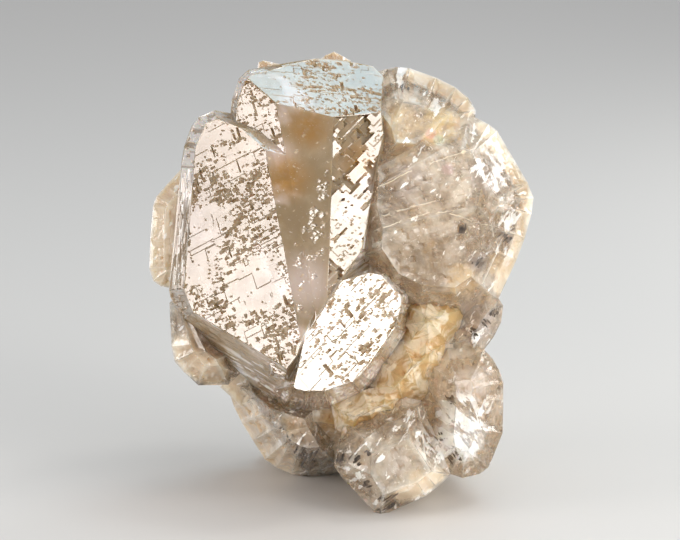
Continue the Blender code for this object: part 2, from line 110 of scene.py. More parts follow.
CLEAR_CRYSTALS = {
    "upper_right_lobe": dict(outline=[
        (0.5, 60.5), (6.5, 62), (7.8, 62.3), (9.6, 62.1), (13.3, 60.8), (16.1, 59.4), (17.9, 57.9),
        (18.9, 56.2), (18.8, 54), (18, 50.6), (14, 45), (0.5, 43.6),
    ], girdle=-1.5, rise=(1.3, 1), back=-10,
        faces=[(13, 56.5, 4.2, -0.25, -0.45), (9, 60, 3.2, 0.35, -0.7)],
    ),
    "right_crystal": dict(outline=[
        (11, 56), (18, 55.6), (20.7, 54.2), (21.9, 53.3), (26.2, 46), (27, 43.9), (26.7, 41.6),
        (25.8, 38.3), (24.6, 35.2), (22, 29.6), (17.4, 26.4), (10.6, 26.2), (4.6, 28), (-1, 34),
        (-1.6, 43.6), (1, 52),
    ], girdle=-1, rise=(1.9, 0.9), back=-15,
        faces=[
            (13.9, 41.5, 11.4, -0.05, -0.36),
            (13.9, 41.5, 11.4, -0.2, 0.25),
            (20, 44, 9.6, -0.75, -0.2),
            (9, 49, 8.6, 0.1, -0.62),
        ],
    ),
    "small_right_crystal": dict(outline=[
        (17, 27.4), (18.1, 29.1), (20, 30), (22.1, 29.8), (22.7, 28.8), (22.4, 26.5), (21.4, 24.5),
        (20, 22.6), (18.9, 21.5), (16.6, 22.3), (14.9, 23.4), (15.6, 25.2),
    ], girdle=0.5, rise=(1.6, 1.6), back=-7,
        faces=[(18.4, 26.4, 6.2, -0.35, -0.3), (18.4, 25.4, 6.4, -0.1, 0.62)],
    ),
    "lower_right_crystal": dict(outline=[
        (11.6, 21), (14.8, 22.9), (20, 22.7), (21.2, 21.4), (22.1, 19.8), (22.7, 18.1), (22.7, 15.6),
        (22.6, 11), (21.4, 8), (20.6, 6.2), (19.4, 5.3), (17, 4.7), (15.2, 5.3), (12.7, 6.7), (11.6, 10),
        (11, 15.6),
    ], girdle=1, rise=(1.7, 3), back=-13,
        faces=[(17, 16.2, 9.2, -0.2, -0.38), (16, 14.6, 9.2, 0.12, 0.32), (19.6, 12.5, 7.6, -0.85, 0.1)],
    ),
    "bottom_crystal": dict(outline=[
        (0.5, 12.5), (5, 15.2), (8.5, 16.2), (11.2, 15.6), (15.3, 5.3), (13.4, 3.5), (11.8, 2.3),
        (5.5, -0.5), (4.5, 0.2), (0, 5), (-1, 6.6), (-0.6, 9),
    ], girdle=4, rise=(1.8, 6), back=-10,
        faces=[(5.6, 10.2, 10.2, 0.1, -0.45), (6.8, 8, 10.2, -0.22, 0.3), (1.2, 8, 7.8, 0.95, 0.2)],
    ),
    "lower_left_crystal": dict(outline=[
        (-16, 18), (-13.5, 20.6), (-1.5, 17), (1.6, 10), (1, 5.2), (-2.4, 4.7), (-4.6, 4.4), (-7, 4.8),
        (-9.2, 5.8), (-10.8, 6.9), (-12.5, 9.6), (-14, 12), (-15.2, 14.4), (-15.9, 16.4),
    ], girdle=-13, rise=(4, 3), back=-17,
        faces=[(-7, 12.6, 6.6, -0.06, -0.42), (-6, 11, 6.6, -0.25, 0.45), (-11.8, 12, 4.6, 0.8, 0.1)],
    ),
    "left_foot_crystal": dict(outline=[
        (-24.1, 29.2), (-22, 31), (-14.4, 22.5), (-14.2, 19.2), (-15.8, 17.7), (-20, 17.6), (-22.1, 19.5),
        (-23.4, 21), (-23.8, 23.1),
    ], girdle=-2.5, rise=(1.7, 1.2), back=-11,
        faces=[(-19.5, 22.6, 3, 0.3, -0.35), (-19.5, 22.2, 3, 0.1, 0.55)],
    ),
    "left_flank_crystal": dict(outline=[
        (-22.4, 48.2), (-18.5, 47), (-17.5, 33), (-23.8, 31.2), (-25.4, 31.5), (-26.5, 32.3), (-27, 34),
        (-26.9, 38), (-26.5, 42.8), (-26, 44.2), (-24.6, 45.8),
    ], girdle=-6, rise=(1.2, 1), back=-14, faces=[(-24.8, 39, -3.6, 0.25, -0.05)],
    ),
    "left_crest_crystal": dict(outline=[
        (-11.9, 61), (-11.6, 63), (-10.9, 63.3), (-7, 62.4), (-5.6, 58), (-10, 55),
    ], girdle=-4, rise=(1.2, 0.8), back=-10, faces=[],
    ),
    "right_crest_crystal": dict(outline=[
        (-3.4, 63), (-2.2, 64), (-1, 64.5), (0, 64), (1.4, 63.2), (1, 57), (-3.4, 57),
    ], girdle=-3.6, rise=(1.4, 0.9), back=-10, faces=[],
    ),
}

HONEY_CRYSTALS = {
    "honey_upper": dict(outline=[
        (8, 29.4), (10.4, 31.4), (12.6, 31), (15.6, 30), (17.4, 28.4), (16.6, 25.8), (15, 23.6),
        (12.5, 22.4), (9, 23), (7.8, 26),
    ], girdle=1, rise=(1.5, 1.5), back=-8, faces=[(12.2, 27, 7.2, -0.1, -0.35), (12, 26, 7.4, -0.25, 0.3)],
    ),
    "honey_middle": dict(outline=[
        (5, 21), (8.5, 24), (12, 24.4), (14.6, 23.6), (14.2, 20.4), (12.2, 16.4), (9, 13.8), (5.4, 14.6),
        (3.6, 17.5),
    ], girdle=1.5, rise=(1.6, 1.6), back=-8,
        faces=[(9.6, 20.6, 7.4, -0.16, -0.2), (9, 17.6, 7.9, 0.2, 0.16)],
    ),
    "honey_lower": dict(outline=[
        (-1.4, 15), (3, 17), (6.2, 17.8), (9.2, 16.6), (8.6, 13.4), (5, 11.4), (1.5, 10.4), (-0.8, 11.6),
    ], girdle=3, rise=(1.7, 1.6), back=-6, faces=[(4, 14.4, 8.6, 0.06, -0.3), (3, 13, 8.6, -0.1, 0.35)],
    ),
}

# The side that the show side hides: crystals that grew backwards, and a foot that carries the weight.
REAR_CRYSTALS = {
    "core": dict(outline=[
        (-14, 46), (-4, 52), (9, 50), (18, 43), (20.5, 33), (19.4, 13), (14, 7.6), (1, 7.6), (-9, 9),
        (-18.5, 27), (-18.5, 38),
    ], girdle=-5, rise=(1.4, 1.3), back=-15, faces=[(0, 30, 1, 0, 0)],
    ),
    "rear_upper": dict(outline=[
        (-14, 52), (-6, 56.5), (3, 56), (10, 50.5), (13.5, 41), (9, 32), (-2, 28), (-13, 31), (-18, 39),
        (-18, 46.5),
    ], girdle=-9, rise=(1, 0.75), back=-19.5, faces=[],
        rear=[(-4, 44, -18, 0.3, 0.28), (3, 38, -18.5, -0.32, -0.12)],
    ),
    "rear_right": dict(outline=[
        (6, 43), (14, 45), (20, 40.5), (22.5, 33), (20.5, 25), (13, 21), (5, 24), (2, 33),
    ], girdle=-9, rise=(1, 0.95), back=-20, faces=[],
        rear=[(13, 33, -18.6, 0.38, 0.16), (10, 30, -18.9, -0.25, -0.4)],
    ),
    "rear_left": dict(outline=[
        (-20, 33), (-12, 35.5), (-4, 31), (-2, 23), (-6, 16), (-14, 14.5), (-19, 19), (-21.5, 26),
    ], girdle=-8, rise=(1, 0.95), back=-19, faces=[],
        rear=[(-12, 26, -17.2, -0.32, 0.22), (-11, 23, -17.4, 0.28, -0.34)],
    ),
    "rear_middle": dict(outline=[
        (-12, 27), (-3, 32.5), (10, 32), (18, 27), (19.2, 19), (14, 11.5), (2, 9.5), (-8.5, 11),
        (-13.5, 18.5),
    ], girdle=-12, rise=(1, 1.6), back=-20, faces=[],
        rear=[(3, 22, -19.4, 0.1, -0.34), (-2, 21, -18.8, -0.38, 0.16)],
    ),
    "rear_foot": dict(outline=[
        (-9.5, 17), (-3, 24), (8, 26), (17.5, 21.5), (20.8, 13), (19.4, 6.6), (14.8, 5.8), (2, 5.2),
        (-6.5, 5.2), (-9, 6), (-10.3, 6.8), (-11.2, 8.4), (-11.6, 11),
    ], girdle=-18.5, rise=(0.8, 5), back=-23, faces=[],
        rear=[(4, 16, -21.6, 0.05, 0.45), (12, 12, -22.2, 0.34, 0.06)],
    ),
}


def portrait(x, z, forward):
    """A point of the portrait frame, in Blender's metres: forward is towards -Y."""
    return Vector((x, -forward, z)) * MM


def face_normal(slopes, towards=1.0):
    """The outward normal of a face that rises forward by these slopes; towards is -1 on the back."""
    return Vector((-slopes[0] * towards, -towards, -slopes[1] * towards)).normalized()


def cleave(bm, point, normal):
    """Splits off what lies beyond a plane and closes the crystal with the new flat face."""
    everything = bm.verts[:] + bm.edges[:] + bm.faces[:]
    bmesh.ops.bisect_plane(bm, geom=everything, plane_co=point, plane_no=normal, clear_outer=True)
    rim = [edge for edge in bm.edges if edge.is_boundary]
    if rim:
        bmesh.ops.holes_fill(bm, edges=rim)


def cleaved_crystal(shape):
    """A rough block, cleaved along each side of the outline, along the back, the front and the ground."""
    bm = bmesh.new()
    bmesh.ops.create_cube(bm, size=2 * ROUGH_BLOCK * MM)
    girdle, back, tilt = shape["girdle"], shape["back"], Vector(shape.get("tilt", (0, 0)))
    to_front, to_back = shape["rise"]
    points = shape["outline"]
    outline = [Vector(points[i]) for i in convex_hull_2d(points)]
    middle = sum(outline, Vector((0, 0))) / len(outline)
    for corner, following in zip(outline, outline[1:] + outline[:1]):
        side = following - corner
        outward = Vector((side.y, -side.x)).normalized()
        if outward.dot(corner - middle) < 0:
            outward.negate()
        at = portrait(corner.x, corner.y, girdle + tilt.dot(corner - middle))
        cleave(bm, at, Vector((outward.x * to_front, -1, outward.y * to_front)))
        cleave(bm, at, Vector((outward.x * to_back, 1, outward.y * to_back)))
    for face in shape["faces"]:
        x, z, forward = face[:3]
        sunk = shape.get("sunk", {}).get(face, 0)
        cleave(bm, portrait(x, z, forward - sunk), face_normal(face[3:]))
    for face in shape.get("rear", []):
        cleave(bm, portrait(*face[:3]), face_normal(face[3:], -1))
    cleave(bm, portrait(middle.x, middle.y, back), Vector((0, 1, 0)))
    ground = portrait(0, GROUND_HEIGHT / math.cos(LEAN_BACK), 0)
    cleave(bm, ground, Vector((0, math.sin(LEAN_BACK), -math.cos(LEAN_BACK))))
    bmesh.ops.remove_doubles(bm, verts=bm.verts, dist=WELD * MM)
    bmesh.ops.recalc_face_normals(bm, faces=bm.faces)
    return bm


def add_object(name, data):
    made = bpy.data.objects.new(name, data)
    bpy.context.scene.collection.objects.link(made)
    return made


def made_object(name, bm):
    mesh = bpy.data.meshes.new(name)
    bm.to_mesh(mesh)
    bm.free()
    return add_object(name, mesh)


def grown_together(shapes):
    """The crystals joined in one closed mesh, whose faces are whole flat polygons."""
    crystals = [made_object(name, cleaved_crystal(shape)) for name, shape in shapes.items()]
    joined, others = crystals[0], crystals[1:]
    if others:
        group = bpy.data.collections.new("joined_on")
        for other in others:
            group.objects.link(other)
        union = joined.modifiers.new("grow together", "BOOLEAN")
        union.operation, union.solver = "UNION", "EXACT"
        union.operand_type, union.collection = "COLLECTION", group
    bpy.context.view_layer.update()
    evaluated = joined.evaluated_get(bpy.context.evaluated_depsgraph_get())
    bm = bmesh.new()
    bm.from_mesh(evaluated.to_mesh())
    evaluated.to_mesh_clear()
    bmesh.ops.remove_doubles(bm, verts=bm.verts, dist=WELD * MM)
    bmesh.ops.dissolve_limit(bm, angle_limit=FLAT_WITHIN, verts=bm.verts, edges=bm.edges)
    for crystal in crystals:
        bpy.data.objects.remove(crystal)
    if others:
        bpy.data.collections.remove(group)
    return bm


# How far the blocks of a group lie apart, and their smallest and largest size, as shares of a block's size.
GROUP_SPREAD = 0.45
BLOCK_SIZES = (0.45, 1.4)


class Grain:
    """The grid of one face's relief: where its points are seen in the portrait, how deep each one lies, in
    millimetres, how etched it is and how much painted glint it carries, a near-white painted highlight."""

    def __init__(self, across, up, pitch, rng):
        self.across, self.up, self.pitch, self.rng = across, up, pitch, rng
        self.depth, self.etched, self.painted_glint = (np.zeros(across.shape) for _ in range(3))

    def soft_noise(self, along, over=None):
        """Smooth noise from 0 to 1, whose waves are about this many millimetres long and wide."""
        rows, columns = self.depth.shape
        y = np.arange(rows) * self.pitch / (over or along)
        x = np.arange(columns) * self.pitch / along
        coarse = self.rng.random((int(y[-1]) + 2, int(x[-1]) + 2))
        top, left = y.astype(int), x.astype(int)
        fy, fx = (y - top)[:, None], (x - left)[None, :]
        fy, fx = fy * fy * (3 - 2 * fy), fx * fx * (3 - 2 * fx)
        corners = [[coarse[np.ix_(top + i, left + j)] for j in (0, 1)] for i in (0, 1)]
        low = corners[0][0] * (1 - fx) + corners[0][1] * fx
        high = corners[1][0] * (1 - fx) + corners[1][1] * fx
        return low * (1 - fy) + high * fy

    def patches(self, places):
        """Soft round patches: each place is x, z, radius and weight."""
        total = np.zeros(self.depth.shape)
        for x, z, radius, weight in places:
            far = np.hypot(self.across - x, self.up - z) / radius
            total += weight * np.clip(1.5 - far, 0, 1)
        return total

    def block(self, row, column, long, wide):
        """One rectangle of the grid, with the offsets of its points from its corner."""
        row, column = max(row, 0), max(column, 0)
        tall, broad = (max(1, round(side / self.pitch)) for side in (wide, long))
        patch = (slice(row, row + tall), slice(column, column + broad))
        y, x = np.mgrid[patch]
        rows, columns = self.depth[patch].shape
        y, x = (grid[:rows, :columns] * self.pitch for grid in (y - row, x - column))
        return patch, y, x

    def blocks(self, long, wide, per_mm2, cover=1.0, ragged=1):
        """Random rectangles, more of them where the cover is high; ragged ones come in small groups."""
        rows, columns = self.depth.shape
        cover = np.broadcast_to(cover, self.depth.shape)
        for _ in range(self.rng.poisson(rows * columns * self.pitch**2 * per_mm2)):
            row, column = self.rng.integers(rows), self.rng.integers(columns)
            if self.rng.random() > cover[row, column]:
                continue
            for _ in range(ragged):
                down = row + int(self.rng.normal(0, GROUP_SPREAD) * wide / self.pitch * (ragged > 1))
                right = column + int(self.rng.normal(0, GROUP_SPREAD) * long / self.pitch * (ragged > 1))
                size = self.rng.uniform(*BLOCK_SIZES, 2)
                yield self.block(down, right, size[0] * long, size[1] * wide)

    def slant(self, y, x, steepness):
        """A flat floor that slopes a random way, with its highest point at 0."""
        turn = self.rng.uniform(0, 2 * math.pi)
        slope = self.rng.uniform(0.5, 1.0) * steepness
        floor = slope * (math.cos(turn) * x + math.sin(turn) * y)
        return floor - floor.min(initial=0.0)

    def pits(self, shallow, long, wide, per_mm2, cover, ragged=1):
        """Etches blocks away down to slanting floors."""
        for patch, y, x in self.blocks(long, wide, per_mm2, cover, ragged):
            floor = shallow * self.rng.uniform(0.7, 1.6) + self.slant(y, x, PIT_SLOPE)
            self.depth[patch] = np.maximum(self.depth[patch], floor)
            self.etched[patch] = 1.0


PIT_SLOPE = 0.5
# The pits of the etched faces: length and width in millimetres, how many per mm2 and in groups of how many.
PIT_SIZES = ((1.0, 0.34, 0.16, 3), (0.5, 0.26, 0.7, 3), (0.28, 0.18, 2.6, 2), (0.15, 0.15, 4.0, 1))


def parquet(grain, cover, patches=()):
    """Growth blocks with joints between them, and ragged pits of many sizes where the cover is high."""
    for patch, _, _ in grain.blocks(6.0, 2.2, 0.25):
        grain.depth[patch] = grain.rng.uniform(0, 0.05)
    swells = 0.5 * grain.soft_noise(2.6) + 0.5 * grain.soft_noise(0.9)
    dense = np.clip(1.7 * swells - 0.42 + grain.patches(patches), 0, 1) * cover
    for long, wide, per_mm2, ragged in PIT_SIZES:
        grain.pits(0.08, long, wide, per_mm2, dense, ragged)
    grain.pits(0.08, 0.3, 1.5, 0.16, dense)
    grain.pits(0.06, 0.2, 0.2, 0.25, cover)


# How much the middle face rises to the right against the right face, per millimetre.
STAIR_SLOPE = MIDDLE_FACE[3] - RIGHT_FACE[3]


def scattered_plates(grain, cover, patches=()):
    """Ground etched down to ragged stairs, whose treads are parallel to the middle face, on which whole
    stretches and single growth blocks are left standing."""
    shift = np.zeros(grain.depth.shape)
    for patch, _, _ in grain.blocks(3.0, 1.6, 0.5):
        shift[patch] = grain.rng.uniform(-0.8, 0.8)
    tread = 3.0
    grain.depth += STAIR_SLOPE * (tread - (grain.across + shift) % tread) + 0.02 * grain.soft_noise(0.8)
    grain.etched[:] = 0.1
    left = np.clip(cover + grain.patches(patches), 0, 1)
    whole = left + 0.5 * grain.soft_noise(0.8) > 1.15
    grain.depth[whole], grain.etched[whole] = 0.01, 0.0
    for long, wide, per_mm2, ragged in ((2.2, 1.2, 0.5, 2), (1.0, 0.6, 0.6, 2), (0.5, 0.35, 0.6, 1)):
        for patch, _, _ in grain.blocks(long, wide, per_mm2, left**2, ragged):
            grain.depth[patch] = grain.rng.uniform(0, 0.025)
            grain.etched[patch] = 0.0
    for long, wide, per_mm2, ragged in PIT_SIZES:
        grain.pits(0.10, long, wide, 0.10 * per_mm2, left, ragged)


def window(grain, cover, patches=()):
    """A smooth face with low swells, where small blocks stand out that are parallel to the next face."""
    grain.depth += 0.14 * grain.soft_noise(6.0) + 0.015 * grain.soft_noise(0.8)
    near = np.clip(grain.patches(patches), 0, 1)
    for patch, _, _ in grain.blocks(0.9, 0.5, 0.8, near, 2):
        across = grain.across[patch]
        left_end = across.min(initial=across.max(initial=0.0))
        grain.depth[patch] = 0.02 + STAIR_SLOPE * (across - left_end)
    grain.pits(0.05, 0.4, 0.3, 0.5, cover * grain.soft_noise(5.0))


def striated(grain, cover, patches=()):
    """Steep side faces with long fine steps along the rim, some of which carry a painted highlight."""
    rows, columns = grain.depth.shape
    for _ in range(int(rows * columns * grain.pitch**2 * 1.2)):
        row, column = grain.rng.integers(rows), grain.rng.integers(columns)
        patch, y, _ = grain.block(row, column, grain.rng.uniform(1.0, 6.0), grain.rng.uniform(0.2, 0.9))
        grain.depth[patch] = grain.rng.uniform(0.0, 0.22) + grain.rng.uniform(-0.25, 0.25) * y
    grain.depth = np.clip(grain.depth, 0, 0.4) + 0.15 * grain.soft_noise(3.0, 1.2)
    grain.etched += 0.1 + 0.35 * grain.soft_noise(4.0, 0.6)
    # Painted highlights: near-white glints in streaks along the rim, fewer towards the top.
    lit = np.clip(3 * grain.soft_noise(6.0, 3.0) - 0.6, 0, 1) * np.clip(1.6 - grain.up / 30, 0.2, 1)
    grain.painted_glint = np.clip(9 * grain.soft_noise(3.0, 0.42) - 5.4, 0, 1) * lit
    # Painted highlights where the plates' bright reflections reach out over the rim.
    painted_plate_glint = np.clip(grain.patches(patches), 0, 1) * np.clip(6 - 24 * grain.depth, 0.1, 1)
    grain.painted_glint = np.maximum(grain.painted_glint, painted_plate_glint)


def growth_hills(grain, cover, patches=()):
    """Low growth hills with fine steps and chips."""
    hills = 0.22 * grain.soft_noise(3.6) + 0.10 * grain.soft_noise(1.3) + 0.03 * grain.soft_noise(0.6)
    for patch, _, _ in grain.blocks(2.0, 0.9, 0.5, cover * grain.soft_noise(4.0), 2):
        hills[patch] += grain.rng.uniform(-0.06, 0.06)
    for patch, y, x in grain.blocks(1.3, 0.7, 0.7, cover * grain.soft_noise(3.0), 2):
        hills[patch] += grain.slant(y, x, 0.3)
    grain.depth += hills + 0.12


def inside(outline, points):
    """Which points lie inside a closed outline."""
    found = np.zeros(len(points), bool)
    for a, b in zip(outline, np.roll(outline, -1, axis=0)):
        crosses = (a[1] > points[:, 1]) != (b[1] > points[:, 1])
        rise = b[1] - a[1] if b[1] != a[1] else 1e-12
        at = a[0] + (points[:, 1] - a[1]) / rise * (b[0] - a[0])
        found ^= crosses & (points[:, 0] < at)
    return found


def clearance(outline, points):
    """How far each point is from the outline."""
    nearest = np.full(len(points), np.inf)
    for a, b in zip(outline, np.roll(outline, -1, axis=0)):
        along = b - a
        t = np.clip((points - a) @ along / max(along @ along, 1e-12), 0, 1)
        nearest = np.minimum(nearest, np.linalg.norm(points - a - t[:, None] * along, axis=1))
    return nearest


def plane_axes(polygon, heading):
    """Two directions in a face's plane: the first is seen along the heading in the portrait."""
    normal = polygon.normal
    if heading is None:
        longest = max(polygon.edges, key=lambda edge: edge.calc_length())
        first = (longest.verts[1].co - longest.verts[0].co).normalized()
    else:
        lift = -(normal.x * heading[0] + normal.z * heading[1]) / normal.y
        first = Vector((heading[0], lift, heading[1])).normalized()
    first = (first - normal * first.dot(normal)).normalized()
    return first, normal.cross(first)


# In millimetres: the steps along a ridge, half its width, and how far the grid points keep off its middle.
RIDGE_STEP = 0.22
RIDGE_HALF_WIDTH = 0.15
RIDGE_CLEARANCE = 0.33
# How far a crest strays at each step, in millimetres.
RIDGE_STRAY = 0.035
# A stretch of a ridge is missing where the mean of so many random values, from 0 to 1, is lower than this.
RIDGE_MEAN_OF = 7
RIDGE_MISSING = 0.40


def ridge_line(start, end, rng):
    """Points along a thin ridge, which are a wandering crest with a foot on both sides of it, and whether
    each of them is on the crest. Short stretches are missing."""
    along = end - start
    count = max(2, int(np.linalg.norm(along) / RIDGE_STEP))
    side = np.array([-along[1], along[0]]) / np.linalg.norm(along)
    wander = np.cumsum(rng.normal(0, RIDGE_STRAY, count))
    wander -= np.linspace(0, wander[-1], count)
    chances = rng.random(count + RIDGE_MEAN_OF - 1)
    whole = np.convolve(chances, np.ones(RIDGE_MEAN_OF) / RIDGE_MEAN_OF, "valid") > RIDGE_MISSING
    places, crest = [], []
    for i in np.flatnonzero(whole):
        middle = start + along * i / (count - 1) + side * wander[i]
        for offset in (-RIDGE_HALF_WIDTH, 0.0, RIDGE_HALF_WIDTH):
            places.append(middle + side * offset)
            crest.append(offset == 0.0)
    return np.array(places).reshape(-1, 2), np.array(crest, bool)


# How far grid points stay off a face's border, as a share of the pitch.
BORDER_ROOM = 0.45


def retile(bm, polygon, heading, pitch, carve, rng, layers, cover=1.0, patches=(), ridges=(), fade=0.0):
    """Replaces a flat face by a fine grid that carries the relief. The face's own border stays, and within
    the fade of it, in millimetres, the relief grows from nothing."""
    first, second = plane_axes(polygon, heading)
    origin, normal = polygon.verts[0].co.copy(), polygon.normal.copy()
    border = list(polygon.verts)
    flat = np.array([((v.co - origin).dot(first), (v.co - origin).dot(second)) for v in border]) / MM
    low, high = flat.min(axis=0) - pitch * rng.random(2), flat.max(axis=0)
    columns, rows = (int(side / pitch) + 1 for side in high - low)
    if rows < 3 or columns < 3:
        return
    x, y = np.meshgrid(low[0] + np.arange(columns) * pitch, low[1] + np.arange(rows) * pitch)
    across = origin.x / MM + first.x * x + second.x * y
    up = origin.z / MM + first.z * x + second.z * y
    grain = Grain(across, up, pitch, rng)
    carve(grain, cover, patches)
    points = np.column_stack([x.ravel(), y.ravel()])
    values = np.column_stack([grid.ravel() for grid in (grain.depth, grain.etched, grain.painted_glint)])
    on_grid = rows * columns
    seen = np.array([[first.x, second.x], [first.z, second.z]])
    seen_origin = np.array([origin.x, origin.z]) / MM
    for ridge in ridges:
        ends = np.linalg.solve(seen, (np.array(ridge).reshape(2, 2) - seen_origin).T).T
        places, crest = ridge_line(*ends, rng)
        near = clearance(ends, points[:on_grid]) < RIDGE_CLEARANCE
        grid = ((places - low) / pitch).astype(int).clip(0, (columns - 1, rows - 1))
        added = values[:on_grid].reshape(rows, columns, 3)[grid[:, 1], grid[:, 0]]
        added[crest] = (0.0, 1.0, 0.0)
        # Grid points near the ridge make way: they go to a corner, and what lies on the border is left out.
        points[:on_grid][near] = flat[0]
        points, values = np.vstack([points, places]), np.vstack([values, added])
    room = clearance(flat, points)
    kept = inside(flat, points) & (room > BORDER_ROOM * pitch)
    points, (depth, etched, painted_glint) = points[kept], values[kept].T
    if not len(points):
        return
    depth = depth * np.clip(room[kept] / (fade or 1e-6), 0, 1)
    plan = [Vector(p) for p in flat] + [Vector(p) for p in points]
    made, _, triangles, origins, _, _ = delaunay_2d_cdt(plan, [], [list(range(len(border)))], 1, 1e-6)
    if len(made) != len(plan):
        return
    verts = []
    for place, sources in zip(made, origins):
        index = sources[0] - len(border)
        if index < 0:
            verts.append(border[sources[0]])
            continue
        sunk = origin + (first * place.x + second * place.y - normal * depth[index]) * MM
        vert = bm.verts.new(sunk)
        vert[layers["etched"]] = etched[index]
        vert[layers["painted_glint"]] = painted_glint[index]
        verts.append(vert)
    bm.faces.remove(polygon)
    for triangle in triangles:
        bm.faces.new([verts[i] for i in triangle])


# The smallest face that gets a relief, in square millimetres.
SMALLEST_CARVED = 0.8


def carve_faces(bm, style_of, seed):
    """Gives each face of a crystal its relief. style_of says which one, from the face's normal."""
    layer_names = ("etched", "painted_glint")
    for name in layer_names:
        bm.verts.layers.float.new(name)
    layers = {name: bm.verts.layers.float[name] for name in layer_names}
    rng = np.random.default_rng(seed)
    for polygon in sorted(bm.faces, key=lambda face: tuple(face.calc_center_median())):
        if polygon.calc_area() < SMALLEST_CARVED * MM * MM:
            continue
        retile(bm, polygon, rng=rng, layers=layers, **style_of(polygon))


def same_plane(polygon, face):
    return polygon.normal.angle(face_normal(face[3:])) < NAMED_WITHIN


# Where pits are dense (weight above 0) or the face is smooth (below 0): x, z, radius and weight.
LEFT_PATCHES = (
    (-19, 52, 2.6, -0.9), (-19.7, 40.1, 2.4, -0.8), (-11.5, 31.3, 3, -1), (-12.5, 23.3, 1.8, -0.9),
    (-20.5, 34.5, 2.6, -0.7), (-12.5, 45.4, 4, 0.25), (-14.7, 40.7, 3.4, 0.15), (-7.3, 26.5, 2.4, 0.4),
    (-10.9, 21.6, 2.4, 0.6), (-19, 46, 2, 0.3),
)
TOP_PATCHES = (
    (-10.5, 60.3, 3.2, -1), (-2.8, 59.6, 3.4, 0.5), (2.6, 54.6, 3, 0.7), (5, 61.5, 2, -0.8),
)
LOWER_PATCHES = (
    (-4.5, 18.7, 2.6, -1), (5.5, 29.5, 3, 0.35), (3.5, 26, 3, 0.4),
)
# Where blocks are left on the etched right face.
RIGHT_PATCHES = (
    (3, 39.8, 3.4, 2.4), (1, 37.2, 2.6, 2), (5.6, 51, 1.6, 1), (4, 48.4, 1.2, 0.6), (1.4, 46.6, 1, 0.7),
    (-0.6, 41, 1.2, 0.7), (5, 43.4, 0.9, 0.7), (2.4, 34.6, 2, 0.9), (0.6, 50.2, 0.8, 0.5),
)
# Where small blocks stand out in the window.
MIDDLE_PATCHES = (
    (-2, 49.5, 1.4, 0.7), (-2.2, 44.5, 1.4, 0.8), (-2.2, 41, 1.6, 0.9), (-5.4, 35.6, 1.4, 0.8),
    (-2.6, 37.6, 2, 1), (-3.6, 40.4, 1, 0.6), (-1.8, 54, 1, 0.5), (-4.8, 27.4, 1.4, 0.9),
    (-3.4, 24.6, 1.1, 0.7), (-4.9, 32.4, 0.9, 0.6),
)
# Where painted highlights of the plates reach out over the rim: x, z, radius and weight.
RIM_PATCHES = (
    (-20.4, 53.6, 3.4, 1.6), (-22.6, 46.5, 3, 1.3), (-13.6, 60.6, 2.4, 1.5), (7.6, 31.6, 2.4, 1.6),
    (7.9, 23.6, 1.8, 0.9), (5, 18.8, 1.7, 1), (0.6, 15.6, 1.5, 0.6), (3.4, 36.2, 2.2, 1.6),
)

# The relief of each named face. The heading is how its growth blocks lie in the portrait, the pitch is the
# distance of its points in millimetres, and the cover is how densely its pits, blocks or steps lie.
ALONG_BLOCKS = (0.68, 0.73)
SMOKY_STYLES = (
    (LEFT_FACE, dict(heading=(0.89, 0.46), pitch=0.14, carve=parquet, patches=LEFT_PATCHES)),
    (TOP_FACE, dict(heading=(0.98, -0.10), pitch=0.16, carve=parquet, cover=0.6, patches=TOP_PATCHES)),
    (RIGHT_FACE, dict(
        heading=ALONG_BLOCKS, pitch=0.18, carve=scattered_plates, cover=0.22, patches=RIGHT_PATCHES,
    )),
    (LOWER_FACE, dict(heading=ALONG_BLOCKS, pitch=0.15, carve=parquet, cover=0.45, patches=LOWER_PATCHES)),
    (MIDDLE_FACE, dict(
        heading=ALONG_BLOCKS, pitch=0.2, carve=window, cover=0.4, patches=MIDDLE_PATCHES, fade=0.8,
    )),
)


def smoky_style(polygon):
    for face, style in SMOKY_STYLES:
        if same_plane(polygon, face):
            return style
    if polygon.normal.y > -0.05:
        return dict(heading=None, pitch=0.55, carve=growth_hills, cover=0.5, fade=0.9)
    return dict(heading=None, pitch=0.22, carve=striated, patches=RIM_PATCHES)


# Smooth cream bands along the edges of the clear crystals: half the width, and the corners as x, z.
CREAM_BANDS = (
    (1.1, (20.2, 53.8), (22.9, 50.2), (25.4, 46), (26.3, 43.5), (26.1, 40.8), (25, 37.6), (22.4, 31.6)),
    (1, (10, 61.2), (13.2, 60), (16, 58.4), (17.8, 56.4)),
    (2.2, (-14.6, 15), (-12.9, 11.4), (-10.4, 8.2), (-8, 6.2)),
    (1.6, (-22.4, 23), (-21, 20.4), (-17.6, 19.4)),
    (1, (8.4, 2.6), (11, 3.4), (13.4, 5.2)),
)

# Cream ridges on the clear crystals, each a straight line from x, z to x, z.
RIDGES = (
    (5, 45.2, 12.9, 48.9), (12.9, 48.9, 19.3, 50.9), (5, 41.1, 13, 43.4), (4.6, 39.2, 12.2, 41.8),
    (12.2, 41.8, 14.4, 41.8), (14.4, 41.8, 20.9, 39.8), (20.9, 39.8, 22, 36.5), (22, 36.5, 19.6, 31.6),
    (10.8, 14.9, 11.8, 7.9), (3, 11.6, 7, 13.4), (-6, 16.2, -1, 14.8),
)


def clear_style(polygon):
    if polygon.normal.y > 0.3:
        return dict(heading=None, pitch=0.6, carve=growth_hills, cover=0.6, fade=0.9)
    return dict(heading=None, pitch=0.26, carve=growth_hills, cover=0.8, ridges=RIDGES, fade=0.8)


def mark_cream_bands(bm):
    """Notes for every vertex how near it is to the middle of a cream band: 1 there, 0 well outside it."""
    seen = np.array([(vert.co.x / MM, vert.co.z / MM) for vert in bm.verts])
    cream = np.zeros(len(seen))
    for half_width, *corners in CREAM_BANDS:
        there_and_back = corners + corners[-2:0:-1]
        far = clearance(np.array(there_and_back), seen)
        cream = np.maximum(cream, np.clip(1.5 - far / half_width, 0, 1))
    layer = bm.verts.layers.float.new("cream")
    for vert, value in zip(bm.verts, cream):
        vert[layer] = value


